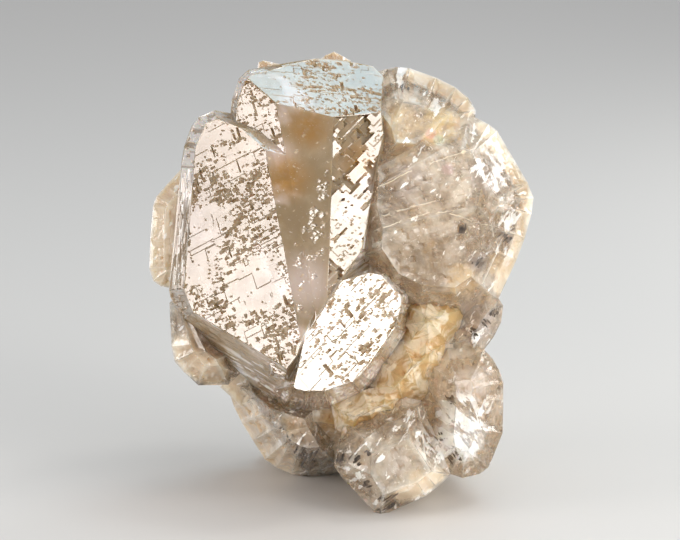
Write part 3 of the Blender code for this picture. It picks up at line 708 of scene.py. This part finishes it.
def crystal_piece(name, shapes, style_of, seed, stand):
    """One finished piece: its crystals joined, carved and stood up."""
    bm = grown_together(shapes)
    carve_faces(bm, style_of, seed)
    if shapes is GLASS_CRYSTALS:
        mark_cream_bands(bm)
    made = made_object(name, bm)
    made.data.transform(stand)
    return made


class Term:
    """One output of a node. Maths on terms adds the Math nodes that work it out."""

    def __init__(self, maker, socket):
        self.maker, self.socket = maker, socket

    def _math(self, operation, *values):
        return self.maker.node("ShaderNodeMath", dict(enumerate(values)), operation=operation)

    def __add__(self, other):
        return self._math("ADD", self, other)

    def __sub__(self, other):
        return self._math("SUBTRACT", self, other)

    def __rsub__(self, other):
        return self._math("SUBTRACT", other, self)

    def __mul__(self, other):
        return self._math("MULTIPLY", self, other)

    __radd__, __rmul__ = __add__, __mul__

    def at_most(self, other):
        return self._math("MINIMUM", self, other)

    def also(self, output):
        """Another output of the same node."""
        return Term(self.maker, self.socket.node.outputs[output])

    def band(self, low, high, bottom=0.0, top=1.0):
        """Rises smoothly from bottom to top as this goes from low to high."""
        values = {"Value": self, "From Min": low, "From Max": high, "To Min": bottom, "To Max": top}
        return self.maker.node("ShaderNodeMapRange", values, interpolation_type="SMOOTHSTEP")


class NodeMaker:
    """Adds nodes to a tree, of a material or of geometry nodes."""

    def node(self, kind, values=None, output=0, **settings):
        made = self.tree.nodes.new(kind)
        for key, value in settings.items():
            setattr(made, key, value)
        for key, value in (values or {}).items():
            if isinstance(value, Term):
                self.tree.links.new(value.socket, made.inputs[key])
            else:
                made.inputs[key].default_value = value
        return Term(self, made.outputs[output]) if made.outputs else None

    def vector(self, operation, *values, output="Vector"):
        return self.node("ShaderNodeVectorMath", dict(enumerate(values)), output, operation=operation)


def colour(red, green, blue):
    """A colour as it is seen on a screen, 0 to 255, for a shader's socket."""
    def linear(value):
        value /= 255
        return value / 12.92 if value <= 0.04045 else ((value + 0.055) / 1.055) ** 2.4
    return (linear(red), linear(green), linear(blue), 1.0)


FLUORITE_IOR = 1.434


class Finish(NodeMaker):
    """A material in the making. Its nodes read the portrait frame, in millimetres."""

    def __init__(self, name, stand):
        self.material = bpy.data.materials.new(name)
        self.material.use_nodes = True
        self.tree = self.material.node_tree
        self.tree.nodes.clear()
        back = stand.inverted()
        self.place = self.node("ShaderNodeMapping", {
            "Vector": self.node("ShaderNodeTexCoord", output="Object"), "Scale": (1 / MM,) * 3,
            "Rotation": back.to_euler(), "Location": back.translation / MM,
        }, vector_type="POINT")

    def noise(self, scale, detail=3.0, roughness=0.55, distortion=0.0, place=None, output=0):
        return self.node("ShaderNodeTexNoise", {
            "Vector": place or self.place, "Scale": scale, "Detail": detail, "Roughness": roughness,
            "Distortion": distortion,
        }, output)

    def streaks(self, scale, turn):
        """Noise drawn out along a direction of the portrait, turned from upright by this many degrees."""
        drawn = self.node("ShaderNodeMapping", {
            "Vector": self.place, "Scale": [1 / s for s in scale], "Rotation": (0.3, math.radians(turn), 0.2),
        }, vector_type="TEXTURE")
        return self.noise(1.0, 4.0, 0.6, 0.4, drawn)

    def shards(self, scale, waver=0.4):
        """A height that tilts each of many small cells its own way, as inner shards lie."""
        half = (0.5, 0.5, 0.5)
        wave = self.noise(2.0 * scale, 2.0, 0.5, output="Color")
        stir = self.vector("MULTIPLY", self.vector("SUBTRACT", wave, half), (waver / scale,) * 3)
        place = self.vector("ADD", self.place, stir)
        cell = self.node("ShaderNodeTexVoronoi", {"Vector": place, "Scale": scale}, "Color")
        from_middle = self.vector("SUBTRACT", place, cell.also("Position"))
        return self.vector("DOT_PRODUCT", self.vector("SUBTRACT", cell, half), from_middle, output="Value")

    def blend(self, factor, first, second):
        """One colour turning into another: each is a term, or red, green and blue as seen on a screen."""
        first, second = (tint if isinstance(tint, Term) else colour(*tint) for tint in (first, second))
        return self.node("ShaderNodeMix", {0: factor, 6: first, 7: second}, 2, data_type="RGBA")

    def layers(self, body, *coats):
        """A colour with others over it, each given by how much of it is seen and its colour."""
        for share, tint in coats:
            body = self.blend(share, body, tint)
        return body

    def soft(self, place, point, radius):
        """1 where the place is at the point, fading to 0 at the radius."""
        far = self.vector("DISTANCE", place, portrait(*point) / MM, output="Value")
        return far.band(radius, 0.15 * radius)

    def spots(self, *spots):
        """The sum of soft spots in the portrait frame: each is x, z, forward and its radius."""
        return sum(self.soft(self.place, spot[:3], spot[3]) for spot in spots)

    def attribute(self, name):
        return self.node("ShaderNodeAttribute", output="Fac", attribute_name=name)

    def bump(self, height, distance, strength=1.0):
        values = {"Height": height, "Distance": distance * MM, "Strength": strength}
        return self.node("ShaderNodeBump", values)

    def fluorite(self, shade, **values):
        named = {key.replace("_", " "): value for key, value in values.items()}
        return self.node("ShaderNodeBsdfPrincipled", {"Base Color": shade, "IOR": FLUORITE_IOR} | named)

    def glassy(self, shade, **values):
        """Clear fluorite."""
        return self.fluorite(shade, Transmission_Weight=1.0, **values)

    def milky(self, shade, weight, reach, **values):
        """Cloudy fluorite: how much light it scatters, and how far red, green and blue reach, in mm."""
        scatter = {"Subsurface_Weight": weight, "Subsurface_Radius": reach, "Subsurface_Scale": MM}
        return self.fluorite(shade, **scatter, **values)

    def mixed(self, share, first, second):
        return self.node("ShaderNodeMixShader", {0: share, 1: first, 2: second})

    def absorption(self, tint, density):
        return self.node("ShaderNodeVolumeAbsorption", {"Color": colour(*tint), "Density": density})

    def finish(self, surface, volume=None):
        inside = {"Volume": volume} if volume else {}
        self.node("ShaderNodeOutputMaterial", {"Surface": surface} | inside)
        return self.material


def smoky_finish(stand):
    """Champagne-brown, clear in the window and cloudy elsewhere, with a mirror-bright coat on the plates, and
    painted highlights, painted sparkles, a painted blue reflection and painted shade on the left rim.
    """
    f = Finish("smoky_fluorite", stand)
    etched, painted_glint = f.attribute("etched"), f.attribute("painted_glint")
    clouds = f.noise(0.11, 4.0, 0.6, 0.6)
    fine = f.noise(1.1, 5.0, 0.65)
    amber = f.spots((-4.6, 53.4, 10, 4.5), (-7.4, 46.6, 11.5, 4.8), (2.4, 49, 9.5, 4))
    lilac = f.spots((-8.6, 49.6, 10.8, 3.6), (-5, 32, 15, 6), (0, 15.5, 7, 11))
    lilac = lilac + f.noise(0.16, 3.0, 0.5, 0.4).band(0.55, 0.7)
    pits = f.blend(fine.band(0.35, 0.65), (170, 142, 106), (212, 190, 160))
    # Painted highlights: tiny bright sparkles in the window, where it is not etched.
    painted_sparkles = f.noise(2.4, 6.0, 0.8).band(0.63, 0.66) * (1.0 - etched)
    # Painted reflection: a crisp light-blue sliver near the top left, a mirrored bluish light.
    painted_blue_reflection = f.spots((-16.9, 55.7, 11, 2.2)).band(0.3, 0.36)
    shade = f.layers(
        f.blend(clouds.band(0.35, 0.65), (146, 122, 84), (176, 154, 122)),
        (lilac * 0.75, (192, 174, 164)),
        # Painted shade: the body is darkened over the left rim, which mirrors the bright surroundings.
        (f.spots((-24, 42, 2, 13)) * 0.7, (120, 96, 70)),
        (amber * fine.band(0.15, 0.6, 0.4, 1.0), (160, 116, 44)),
        (etched * 0.8, pits),
        # Painted highlights: near-white glints on rims and plates, and painted sparkles in the window.
        (painted_glint * 0.9 + painted_sparkles * 0.8, (252, 244, 236)),
        (painted_blue_reflection, (206, 228, 244)),
    )
    mottle = f.noise(0.35, 4.0, 0.7).band(0.3, 0.7, 0.72, 1.0)
    dull = f.spots((-19, 47, 7, 20))
    surface = {
        "Roughness": 0.26 * etched + 0.05 + 0.06 * fine,
        "Coat_Weight": (1.0 - 0.85 * etched) * mottle * (1.0 - 0.25 * dull),
        "Coat_Roughness": 0.03,
        "Coat_IOR": 1.9,
        "Normal": f.bump((0.12 + etched) * f.noise(2.2, 4.0, 0.6), 0.12),
    }
    cloudy = f.milky(shade, 0.5, (2.2, 1.4, 0.8), **surface)
    return f.finish(f.mixed(lilac * 0.2 + 0.7, f.glassy(shade, **surface), cloudy))


# Colours of parts of the clear crystals, right through from front to back: x, z, radius, colour, strength.
STAINS = (
    (-13.4, 12.6, 5, (228, 196, 152), 1), (-9.9, 6.9, 3.6, (232, 206, 168), 0.9),
    (20.5, 47, 4.6, (184, 174, 168), 0.7), (8, 54, 5, (230, 204, 162), 0.8),
    (3, 15.4, 4, (214, 180, 134), 0.8), (-10.9, 14.9, 2.2, (150, 108, 62), 1),
    (-5.7, 12.6, 3.2, (168, 150, 134), 0.8), (-0.4, 12, 2.4, (204, 156, 78), 0.9),
    (7.6, 7.2, 3, (196, 182, 168), 0.7), (10.6, 4, 3.4, (226, 202, 164), 0.5),
    (18, 18, 4.4, (226, 214, 204), 0.9), (16.5, 11, 6, (244, 240, 236), 0.9),
    (18.5, 26.5, 5, (176, 160, 150), 0.9), (-4.6, 9.4, 3.4, (150, 142, 136), 0.9),
    (13.9, 54, 4.6, (232, 204, 150), 0.8), (12.4, 51.8, 1.9, (222, 180, 112), 0.6),
    (9, 50, 3.2, (206, 178, 136), 0.7), (7, 41, 3, (150, 134, 116), 0.8),
    (11, 35.5, 8, (148, 126, 96), 0.8), (17, 32.4, 4, (206, 172, 118), 0.7),
    (22.4, 34.4, 3.4, (222, 190, 142), 0.8), (19, 35, 2.6, (160, 150, 146), 0.7),
    (9, 46, 5, (164, 149, 138), 0.8), (-19, 21, 3.4, (228, 204, 178), 0.9),
    (-21, 27, 4, (170, 146, 118), 0.8), (-8, 10, 7, (212, 182, 142), 0.4),
    (-19.5, 22.5, 6, (218, 184, 146), 0.5), (12.5, 52.8, 1.3, (240, 176, 196), 0.35),
    (13.6, 51.8, 1.3, (168, 222, 214), 0.35), (14.8, 47.8, 1.4, (240, 184, 206), 0.3),
)


def clear_finish(stand):
    """Nearly colourless, clear and milky in turns, with cream ridges and stains, painted highlights in bright
    streaks, flecks and silver lines, and painted shade in dark streaks and flecks.
    """
    f = Finish("clear_fluorite", stand)
    ridge = f.attribute("etched")
    clouds = f.noise(0.13, 4.0, 0.6, 0.8)
    fine = f.noise(1.0, 6.0, 0.7)
    flecks = f.noise(1.5, 6.0, 0.8, 0.6)
    calm = f.spots((8.6, 45.6, 10, 6), (19, 19, 8, 4))
    ragged = fine.band(0.32, 0.58)
    waver = 0.9 * f.noise(0.4, 5.0, 0.7) - 0.45
    seen = f.vector("MULTIPLY", f.place, (1.0, 0.0, 1.0))
    shares = []
    for x, z, radius, _, strength in STAINS:
        near = f.soft(seen, (x, z, 0), radius)
        shares.append((near + waver).band(0.15, 0.85) * strength)
    stained = sum(shares).band(0.1, 1.2)
    cream = (f.attribute("cream") + waver).band(0.1, 0.7)
    plain = 1.0 - 0.6 * cream
    lively = f.noise(0.22, 3.0, 0.6).band(0.38, 0.6, 0.35, 1.0)
    lively = lively * (1.0 - 0.8 * calm) * (1.0 - 0.6 * stained) * plain
    # Painted reflections: silvery diagonal lines in the lower right crystal.
    painted_silver_reflections = f.streaks((1.1, 0.12, 0.4), -42.0).band(0.47, 0.50)
    painted_silver_reflections = painted_silver_reflections * f.spots((16, 11, 8.5, 9)).band(0.2, 0.6)
    # Painted highlights: bright streaks, and bright flecks where the crystal is lively.
    streaks = f.streaks((0.9, 0.12, 0.35), 35.0) + 0.16 * f.spots((19, 47.5, 8, 3))
    streaks = streaks + 0.5 * f.noise(0.24, 2.0, 0.5)
    painted_glints = streaks.band(0.87, 0.90) * plain + painted_silver_reflections + flecks.band(0.60, 0.62) * lively
    # Painted shade: dark streaks and flecks that stand for dark inner reflections.
    painted_shade_lines = f.streaks((0.7, 0.15, 0.25), -40.0).band(0.66, 0.69) + flecks.band(0.385, 0.37) * lively
    rust = f.noise(0.2, 5.0, 0.6, 1.4).band(0.58, 0.72)
    frayed = ragged.band(0.0, 1.0, 0.5, 1.0)
    body = f.layers(
        f.blend(clouds.band(0.36, 0.6), (206, 188, 164), (242, 230, 212)),
        (ragged * 0.25, (226, 206, 180)),
        *((share * frayed, stain[3]) for share, stain in zip(shares, STAINS)),
        (rust * 0.4, (206, 166, 104)),
        (cream * 0.9, f.blend(clouds.band(0.4, 0.6), (206, 182, 150), (230, 212, 186))),
        (painted_shade_lines * 0.5, (150, 132, 114)),
        (painted_glints * 0.85, (252, 248, 242)),
        (ridge * 0.7, (244, 228, 200)),
    )
    surface = {
        "Roughness": 0.05 + 0.08 * fine + 0.2 * (ridge + cream),
        "Normal": f.bump(0.08 * fine + 0.35 * f.shards(0.35) + 0.4 * f.shards(1.2), 1.0, lively),
    }
    milky = f.milky(body, 0.8, (4.0, 3.5, 3.0), Coat_Weight=0.7, Coat_IOR=1.6, **surface)
    glassy = f.glassy(colour(252, 242, 228), **surface)
    milk = clouds.band(0.42, 0.64) * 0.35 + 0.12 * ragged + 0.10 + 0.3 * stained + 0.5 * cream
    milk = milk + 0.5 * (painted_glints + ridge + 0.6 * painted_shade_lines)
    return f.finish(f.mixed(milk, glassy, milky), f.absorption((250, 234, 208), 30.0))


def honey_finish(stand):
    """Honey-yellow, clear and milky in turns."""
    f = Finish("honey_fluorite", stand)
    fine = f.noise(0.9, 5.0, 0.65)
    clouds = f.noise(0.3, 4.0, 0.6, 0.8).band(0.42, 0.58)
    surface = {
        "Roughness": 0.05 + 0.08 * fine,
        "Normal": f.bump(0.12 * fine + 0.35 * f.shards(0.45), 1.0),
    }
    body = f.blend(clouds, (251, 206, 144), (255, 234, 206))
    milky = f.milky(body, 0.6, (3.0, 2.6, 2.0), Coat_Weight=0.5, **surface)
    glassy = f.glassy(colour(255, 230, 200), **surface)
    return f.finish(f.mixed(clouds * 0.3 + 0.6, glassy, milky), f.absorption((255, 226, 186), 6.0))


def cloudy_finish(f, body):
    """Cloudy crystal of a given colour, with fine shards, browner specks and a few painted highlights in
    streaks.
    """
    fine = f.noise(0.8, 5.0, 0.6)
    specks = f.noise(0.5, 6.0, 0.75).band(0.50, 0.62)
    # Painted highlights: a few near-white streaks.
    streaks = f.streaks((0.9, 0.14, 0.35), 35.0).band(0.60, 0.64)
    body = f.layers(body, (specks * 0.6, (196, 168, 134)), (streaks * 0.8, (252, 246, 238)))
    grain = f.bump(0.1 * fine + 0.3 * f.shards(0.7), 1.0)
    coat = {"Coat_Weight": 0.7, "Coat_IOR": 1.6}
    return f.finish(f.milky(body, 0.6, (3.6, 3.0, 2.2), Roughness=0.06 + 0.12 * fine, Normal=grain, **coat))


def rear_finish(stand):
    """Champagne and cream; what shows between the front crystals is honey-yellow."""
    f = Finish("rear_fluorite", stand)
    clouds = f.noise(0.12, 4.0, 0.6, 0.8)
    body = f.blend(clouds.band(0.40, 0.60), (202, 178, 146), (236, 222, 200))
    honey = f.spots((0.4, 13.4, 1, 5)) + f.spots((8.3, 31.7, 1, 5)) * 0.6
    return cloudy_finish(f, f.blend(honey, body, (222, 180, 116)))


def cream_finish(stand):
    """The cream-white crystal of the left flank and the small crests, which are browner."""
    f = Finish("cream_fluorite", stand)
    clouds = f.noise(0.12, 3.0, 0.5, 0.5)
    body = f.blend(clouds.band(0.4, 0.6), (196, 170, 140), (222, 204, 178))
    crests = f.spots((-10, 63, -4, 4.5), (-1, 64, -4, 4.5))
    return cloudy_finish(f, f.blend(crests, body, (176, 142, 108)))


def veil_finish(stand):
    """Inner fractures: thin feathery sheets that mirror the light, with faint thin-film colours."""
    f = Finish("fracture_veil", stand)
    feather = f.noise(0.9, 5.0, 0.7, 0.6)
    cover = (feather - f.attribute("reach") * 0.45).band(0.10, 0.30) * 0.85
    film = {"Thin_Film_Thickness": 460.0, "Thin_Film_IOR": 1.3}
    grain = f.bump(f.noise(1.6, 4.0, 0.6), 0.25)
    return f.finish(f.fluorite(
        colour(246, 240, 232), Metallic=0.6, Roughness=0.10, Alpha=cover, Normal=grain, **film,
    ))


# Painted shade: dark grey-brown for thin sheets that stand for dark inner reflections.
def painted_shade_finish(stand):
    f = Finish("fracture_painted_shade", stand)
    shade = f.blend(f.noise(1.2).band(0.35, 0.65), (58, 50, 44), (112, 98, 84))
    return f.finish(f.fluorite(shade, Roughness=0.25))


def floor_finish():
    material = bpy.data.materials.new("pale_floor")
    material.use_nodes = True
    shader = material.node_tree.nodes["Principled BSDF"]
    shader.inputs["Base Color"].default_value = colour(208, 206, 203)
    shader.inputs["Roughness"].default_value = 0.6
    return material


# In millimetres; the centre is x and z of the portrait frame.
CAMERA_DISTANCE = 900.0
PICTURE_WIDTH = 95.2
PICTURE_CENTRE = (-0.14, 33.8)
SENSOR = 36.0


def add_camera(stand):
    data = bpy.data.cameras.new("camera")
    data.sensor_width = SENSOR
    data.lens = SENSOR * CAMERA_DISTANCE / PICTURE_WIDTH
    camera = add_object("camera", data)
    at = Matrix.Translation(portrait(*PICTURE_CENTRE, CAMERA_DISTANCE))
    camera.matrix_world = stand @ at @ Matrix.Rotation(math.radians(90), 4, "X")
    bpy.context.scene.camera = camera


def add_softbox(name, stand, target, direction, distance, size, radiance, tint=(1.0, 0.98, 0.95)):
    """A square light that shines on a point of the portrait frame from a direction."""
    data = bpy.data.lights.new(name, "AREA")
    data.size = size * MM
    data.energy = radiance * math.pi * (size * MM) ** 2
    data.color = tint
    light = add_object(name, data)
    way = stand.to_3x3() @ direction.normalized()
    light.location = stand @ portrait(*target) + way * distance * MM
    light.rotation_euler = way.to_track_quat("Z", "Y").to_euler()


def mirrored(face, target):
    """The direction from which a light is mirrored by a face into the camera."""
    normal = face_normal(face[3:])
    to_camera = (portrait(*PICTURE_CENTRE, CAMERA_DISTANCE) - portrait(*target)).normalized()
    return 2 * normal.dot(to_camera) * normal - to_camera


def on_face(face, x, z):
    face_x, face_z, forward, right, up = face
    return (x, z, forward + right * (x - face_x) + up * (z - face_z))


# Each light: its name, the face that mirrors it and where, its distance and size in mm, radiance and tint.
MIRROR_LIGHTS = (
    ("left_softbox", LEFT_FACE, (-14, 38), 300, 130, 6.4, (1.0, 0.92, 0.88)),
    ("top_softbox", TOP_FACE, (-3, 57), 260, 110, 3.4, (0.56, 0.84, 1.0)),
    ("lower_softbox", LOWER_FACE, (1, 26), 300, 110, 6.6, (1.0, 0.96, 0.93)),
    ("right_softbox", RIGHT_FACE, (3, 44), 300, 80, 7.0, (1.0, 0.96, 0.93)),
)
# Each light: its name, the direction it shines from, its distance and size in mm, and radiance.
SIDE_LIGHTS = (
    ("left_strip", (-0.8, 0.6, 0.15), 260, 70, 4.0),
    ("back_strip", (0.75, 0.7, 0.35), 260, 80, 6.5),
    ("right_strip", (1.0, -0.45, 0.25), 260, 60, 6.5),
    ("high_strip", (0.5, -0.2, 1.0), 300, 60, 9.0),
    ("low_strip", (-0.35, -1.0, -0.1), 320, 50, 6.0),
    ("front_fill", (0.25, -1.0, -0.15), 500, 300, 1.6),
    ("lower_fill", (0.9, -1.0, 0.0), 320, 160, 3.0),
)
MIDDLE_HEIGHT = 32
# In metres. The floor lies a hair below the base.
FLOOR_SIZE = 4.0
FLOOR_GAP = 0.00003


def add_studio(stand):
    for name, face, (x, z), distance, size, radiance, tint in MIRROR_LIGHTS:
        target = on_face(face, x, z)
        add_softbox(name, stand, target, mirrored(face, target), distance, size, radiance, tint)
    for name, direction, distance, size, radiance in SIDE_LIGHTS:
        add_softbox(name, stand, (0, MIDDLE_HEIGHT, 5), Vector(direction), distance, size, radiance)
    above = Vector((0.3, -0.35, 1.0))
    add_softbox("overhead_softbox", stand, (0, MIDDLE_HEIGHT, 0), above, 500, 400, 1.2)
    world = bpy.data.worlds.new("studio")
    bpy.context.scene.world = world
    world.use_nodes = True
    backdrop = world.node_tree.nodes["Background"]
    backdrop.inputs["Color"].default_value = (0.55, 0.56, 0.58, 1)
    backdrop.inputs["Strength"].default_value = 0.85
    bpy.ops.mesh.primitive_plane_add(size=FLOOR_SIZE, location=(0, 0, -FLOOR_GAP))
    floor = bpy.context.object
    floor.name = "floor"
    floor.data.materials.append(floor_finish())
    floor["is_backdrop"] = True
    bpy.context.scene.view_settings.view_transform = "Standard"


def centre(low, high):
    return (Vector(low) + Vector(high)) / 2


def stand_matrix(shapes):
    """Leans the portrait frame back and centres the plain crystals in the solid's box."""
    lean = Matrix.Rotation(-LEAN_BACK, 4, "X")
    places = []
    for shape in shapes.values():
        bm = cleaved_crystal(shape)
        places += [lean @ vert.co for vert in bm.verts]
        bm.free()
    places = np.array(places)
    shift = centre(*CAD_BOX) - centre(places.min(axis=0), places.max(axis=0))
    return Matrix.Translation((shift.x, shift.y, -GROUND_HEIGHT * MM)) @ lean


class Grower(NodeMaker):
    """A tree of geometry nodes in the making."""

    def __init__(self, name):
        self.tree = bpy.data.node_groups.new(name, "GeometryNodeTree")
        self.tree.is_modifier = True
        for way in ("INPUT", "OUTPUT"):
            self.tree.interface.new_socket("Geometry", in_out=way, socket_type="NodeSocketGeometry")
        self.group = self.tree.nodes.new("NodeGroupInput")

    def given(self, name):
        return Term(self, self.group.outputs[name])

    def setting(self, name, kind, default):
        socket = self.tree.interface.new_socket(name, in_out="INPUT", socket_type=kind)
        socket.default_value = default
        return self.given(name)

    def pick(self, choice, values):
        """The vector of this number in the values."""
        made = self.tree.nodes.new("GeometryNodeIndexSwitch")
        made.data_type = "VECTOR"
        while len(made.index_switch_items) < len(values):
            made.index_switch_items.new()
        self.tree.links.new(choice.socket, made.inputs["Index"])
        for i, value in enumerate(values):
            made.inputs[1 + i].default_value = value
        return Term(self, made.outputs[0])


# The four ways a fluorite crystal cleaves, as turns of a flat sheet, and how much each sheet strays.
CLEAVAGES = ((0.96, 0.1, 0.5), (-0.90, 0.2, 0.6), (0.2, 0.95, 0.4), (0.1, -0.96, 0.5))
STRAY = 0.22
# How far a sheet is bent out of its plane, in millimetres, and how many waves there are in a metre.
BEND = 0.45
WAVES_PER_METRE = 400.0


def veil_tree(material):
    """Scatters bent sheets inside a closed crystal: large ones in its middle, small ones near its faces."""
    g = Grower("fracture_veils")
    per_m3 = g.setting("Per Cubic Metre", "NodeSocketFloat", 1.0e7)
    largest = g.setting("Largest", "NodeSocketFloat", 3.0 * MM)
    seed = g.setting("Seed", "NodeSocketInt", 0)
    crystal = g.given("Geometry")
    solid = g.node("GeometryNodeMeshToVolume", {
        "Mesh": crystal, "Density": 1.0, "Voxel Size": 0.5 * MM, "Interior Band Width": 30 * MM,
    }, resolution_mode="VOXEL_SIZE")
    places = {"Volume": solid, "Density": per_m3, "Seed": seed}
    points = g.node("GeometryNodeDistributePointsInVolume", places)
    size = {"Size X": 2.0, "Size Y": 1.4, "Vertices X": 7, "Vertices Y": 6}
    sheet = g.node("GeometryNodeMeshGrid", size)
    sheet = g.node("GeometryNodeStoreNamedAttribute", {
        "Geometry": sheet, "Name": "reach",
        "Value": g.vector("LENGTH", g.node("GeometryNodeInputPosition"), output="Value"),
    }, data_type="FLOAT")
    room = g.node("GeometryNodeProximity", {0: crystal}, "Distance", target_element="FACES") * 0.8
    part = g.node("FunctionNodeRandomValue", {"Min": 0.35, "Max": 1.0, "Seed": 5}, "Value")
    way = g.node("FunctionNodeRandomValue", {4: 0, 5: len(CLEAVAGES) - 1, "Seed": 6}, 2, data_type="INT")
    stray = {0: (-STRAY,) * 3, 1: (STRAY,) * 3, "Seed": 7}
    stray = g.node("FunctionNodeRandomValue", stray, data_type="FLOAT_VECTOR")
    turned = g.vector("ADD", g.pick(way, CLEAVAGES), stray)
    sheets = g.node("GeometryNodeInstanceOnPoints", {
        "Points": points, "Instance": sheet, "Rotation": g.node("FunctionNodeEulerToRotation", {0: turned}),
        "Scale": room.at_most(largest) * part,
    })
    sheets = g.node("GeometryNodeRealizeInstances", {"Geometry": sheets})
    wave = {"Vector": g.node("GeometryNodeInputPosition"), "Scale": WAVES_PER_METRE}
    wave = g.node("ShaderNodeTexNoise", wave, "Color")
    bend = g.vector("MULTIPLY_ADD", wave, (2 * BEND * MM,) * 3, (-BEND * MM,) * 3)
    sheets = g.node("GeometryNodeSetPosition", {"Geometry": sheets, "Offset": bend})
    sheets = g.node("GeometryNodeSetMaterial", {"Geometry": sheets, "Material": material})
    g.node("NodeGroupOutput", {0: sheets})
    return g.tree


def fracture_veils(name, shapes, stand, material, **settings):
    """The inner fractures of some crystals, grown by geometry nodes and kept as a plain mesh."""
    host = made_object("veil_host", grown_together(shapes))
    grow = host.modifiers.new("veils", "NODES")
    grow.node_group = veil_tree(material)
    for item in grow.node_group.interface.items_tree:
        if item.item_type == "SOCKET" and item.in_out == "INPUT" and item.name in settings:
            grow[item.identifier] = settings[item.name]
    bpy.context.view_layer.update()
    evaluated = host.evaluated_get(bpy.context.evaluated_depsgraph_get())
    mesh = bpy.data.meshes.new_from_object(evaluated)
    bpy.data.objects.remove(host)
    mesh.name = name
    mesh.transform(stand)
    return add_object(name, mesh)


# Fractures just below the surface of the clear crystals, dark with painted shade that stands for dark inner
# reflections: x, z, size in millimetres, the turn of their sheets from level, in degrees, and how many
# sheets.
PAINTED_SHADE_MARKS = (
    (-5.3, 8, 3, 62, 9), (15.6, 24.6, 1.6, -35, 4), (2, 7.6, 2, 38, 6), (4, 8.6, 1.4, 30, 4),
    (6.4, 1.7, 3, 36, 8), (3.6, 4.2, 1.2, 20, 3), (15.3, 16, 1.6, -60, 4), (16.2, 7.8, 2, -55, 6),
    (14, 10.4, 1.5, -62, 4), (-7, 10.8, 1, 40, 3), (16.8, 39.6, 1.4, 80, 4), (23, 38.6, 2.2, 42, 6),
    (19, 35, 1.8, 50, 5), (12.2, 61.2, 1.4, 60, 4), (8.9, 59.4, 1.5, 75, 4), (-20.8, 33.4, 0.8, 30, 2),
    (20.2, 26.6, 1.4, -50, 4), (11.2, 21.6, 0.9, -70, 2), (18.4, 24.8, 1.8, -32, 6),
    (21.4, 27.6, 1.5, 70, 5), (-0.2, 7.6, 2.4, 76, 4), (-8.2, 12.2, 1.2, 30, 3),
)
# The corners of one sheet, as shares of half its length and of its width.
CORNERS = ((-1, -0.4), (-0.6, -1), (0.8, -0.8), (1, 0.2), (0.5, 1), (-0.8, 0.7))
# In millimetres: between the sheets of a bundle, below the surface, and from where the surface is found.
SHEET_SPACING = 0.30
SHEET_DEPTH = 0.18
IN_FRONT = 40


def painted_shade_fractures(stand, crystals, material):
    """Bundles of thin sheets that lie just inside the front of the clear crystals, dark with painted shade.
    """
    rng = np.random.default_rng(21)
    tree = BVHTree.FromBMesh(crystals)
    backwards, sunk = Vector((0, 1, 0)), Vector((0, SHEET_DEPTH * MM, 0))
    bm = bmesh.new()
    for x, z, size, turn, count in PAINTED_SHADE_MARKS:
        along = Vector((math.cos(math.radians(turn)), 0, math.sin(math.radians(turn))))
        across = Vector((-along.z, 0, along.x))
        for i in range(count):
            off = across * (i - count / 2) * SHEET_SPACING * rng.uniform(0.6, 1.3)
            middle = portrait(x, z, IN_FRONT) + off * MM
            middle += along * rng.normal(0, 0.16 * size) * MM
            half, wide = 0.5 * size * rng.uniform(0.3, 1.0), rng.uniform(0.08, 0.26)
            ends = [middle + (along * half * s + across * wide * t) * MM for s, t in CORNERS]
            hits = [tree.ray_cast(end, backwards)[0] for end in ends]
            if None not in hits:
                bm.faces.new([bm.verts.new(hit + sunk) for hit in hits])
    made = made_object("painted_shade_fractures", bm)
    made.data.transform(stand)
    made.data.materials.append(material)
    return made


def hand_in(piece, slot):
    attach(piece, BODY)
    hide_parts(NODE)


CREAM_NAMES = ("left_flank_crystal", "left_crest_crystal", "right_crest_crystal")
CREAM_CRYSTALS = {name: CLEAR_CRYSTALS[name] for name in CREAM_NAMES}
GLASS_CRYSTALS = {name: shape for name, shape in CLEAR_CRYSTALS.items() if name not in CREAM_NAMES}

# Each piece: its crystals, the relief of their faces, its finish, its slot and the seed of its relief.
PIECES = {
    "smoky_crystal": (SMOKY_BLOCKS, smoky_style, smoky_finish, "smoky_fluorite", 11),
    "clear_crystals": (GLASS_CRYSTALS, clear_style, clear_finish, "clear_fluorite", 12),
    "cream_crystals": (CREAM_CRYSTALS, clear_style, cream_finish, "clear_fluorite", 15),
    "honey_crystals": (HONEY_CRYSTALS, clear_style, honey_finish, "honey_fluorite", 13),
    "rear_crystals": (REAR_CRYSTALS, clear_style, rear_finish, "smoky_fluorite", 14),
}

stand = stand_matrix(SMOKY_BLOCKS | CLEAR_CRYSTALS | HONEY_CRYSTALS | REAR_CRYSTALS)
for name, (shapes, style_of, finish_of, slot, seed) in PIECES.items():
    piece = crystal_piece(name, shapes, style_of, seed, stand)
    piece.data.materials.append(finish_of(stand))
    hand_in(piece, slot)
settings = {"Per Cubic Metre": 4.5e7, "Largest": 2.6 * MM, "Seed": 4}
veils = fracture_veils("fracture_veils", GLASS_CRYSTALS, stand, veil_finish(stand), **settings)
hand_in(veils, "clear_fluorite")
glass = grown_together(GLASS_CRYSTALS)
# Thin fracture sheets, darkened with painted shade.
hand_in(painted_shade_fractures(stand, glass, painted_shade_finish(stand)), "clear_fluorite")
glass.free()
add_camera(stand)
add_studio(stand)

boxes = {"cad": CAD_BOX, "visual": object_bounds()}
boxes = {name: [list(corner) for corner in box] for name, box in boxes.items()}
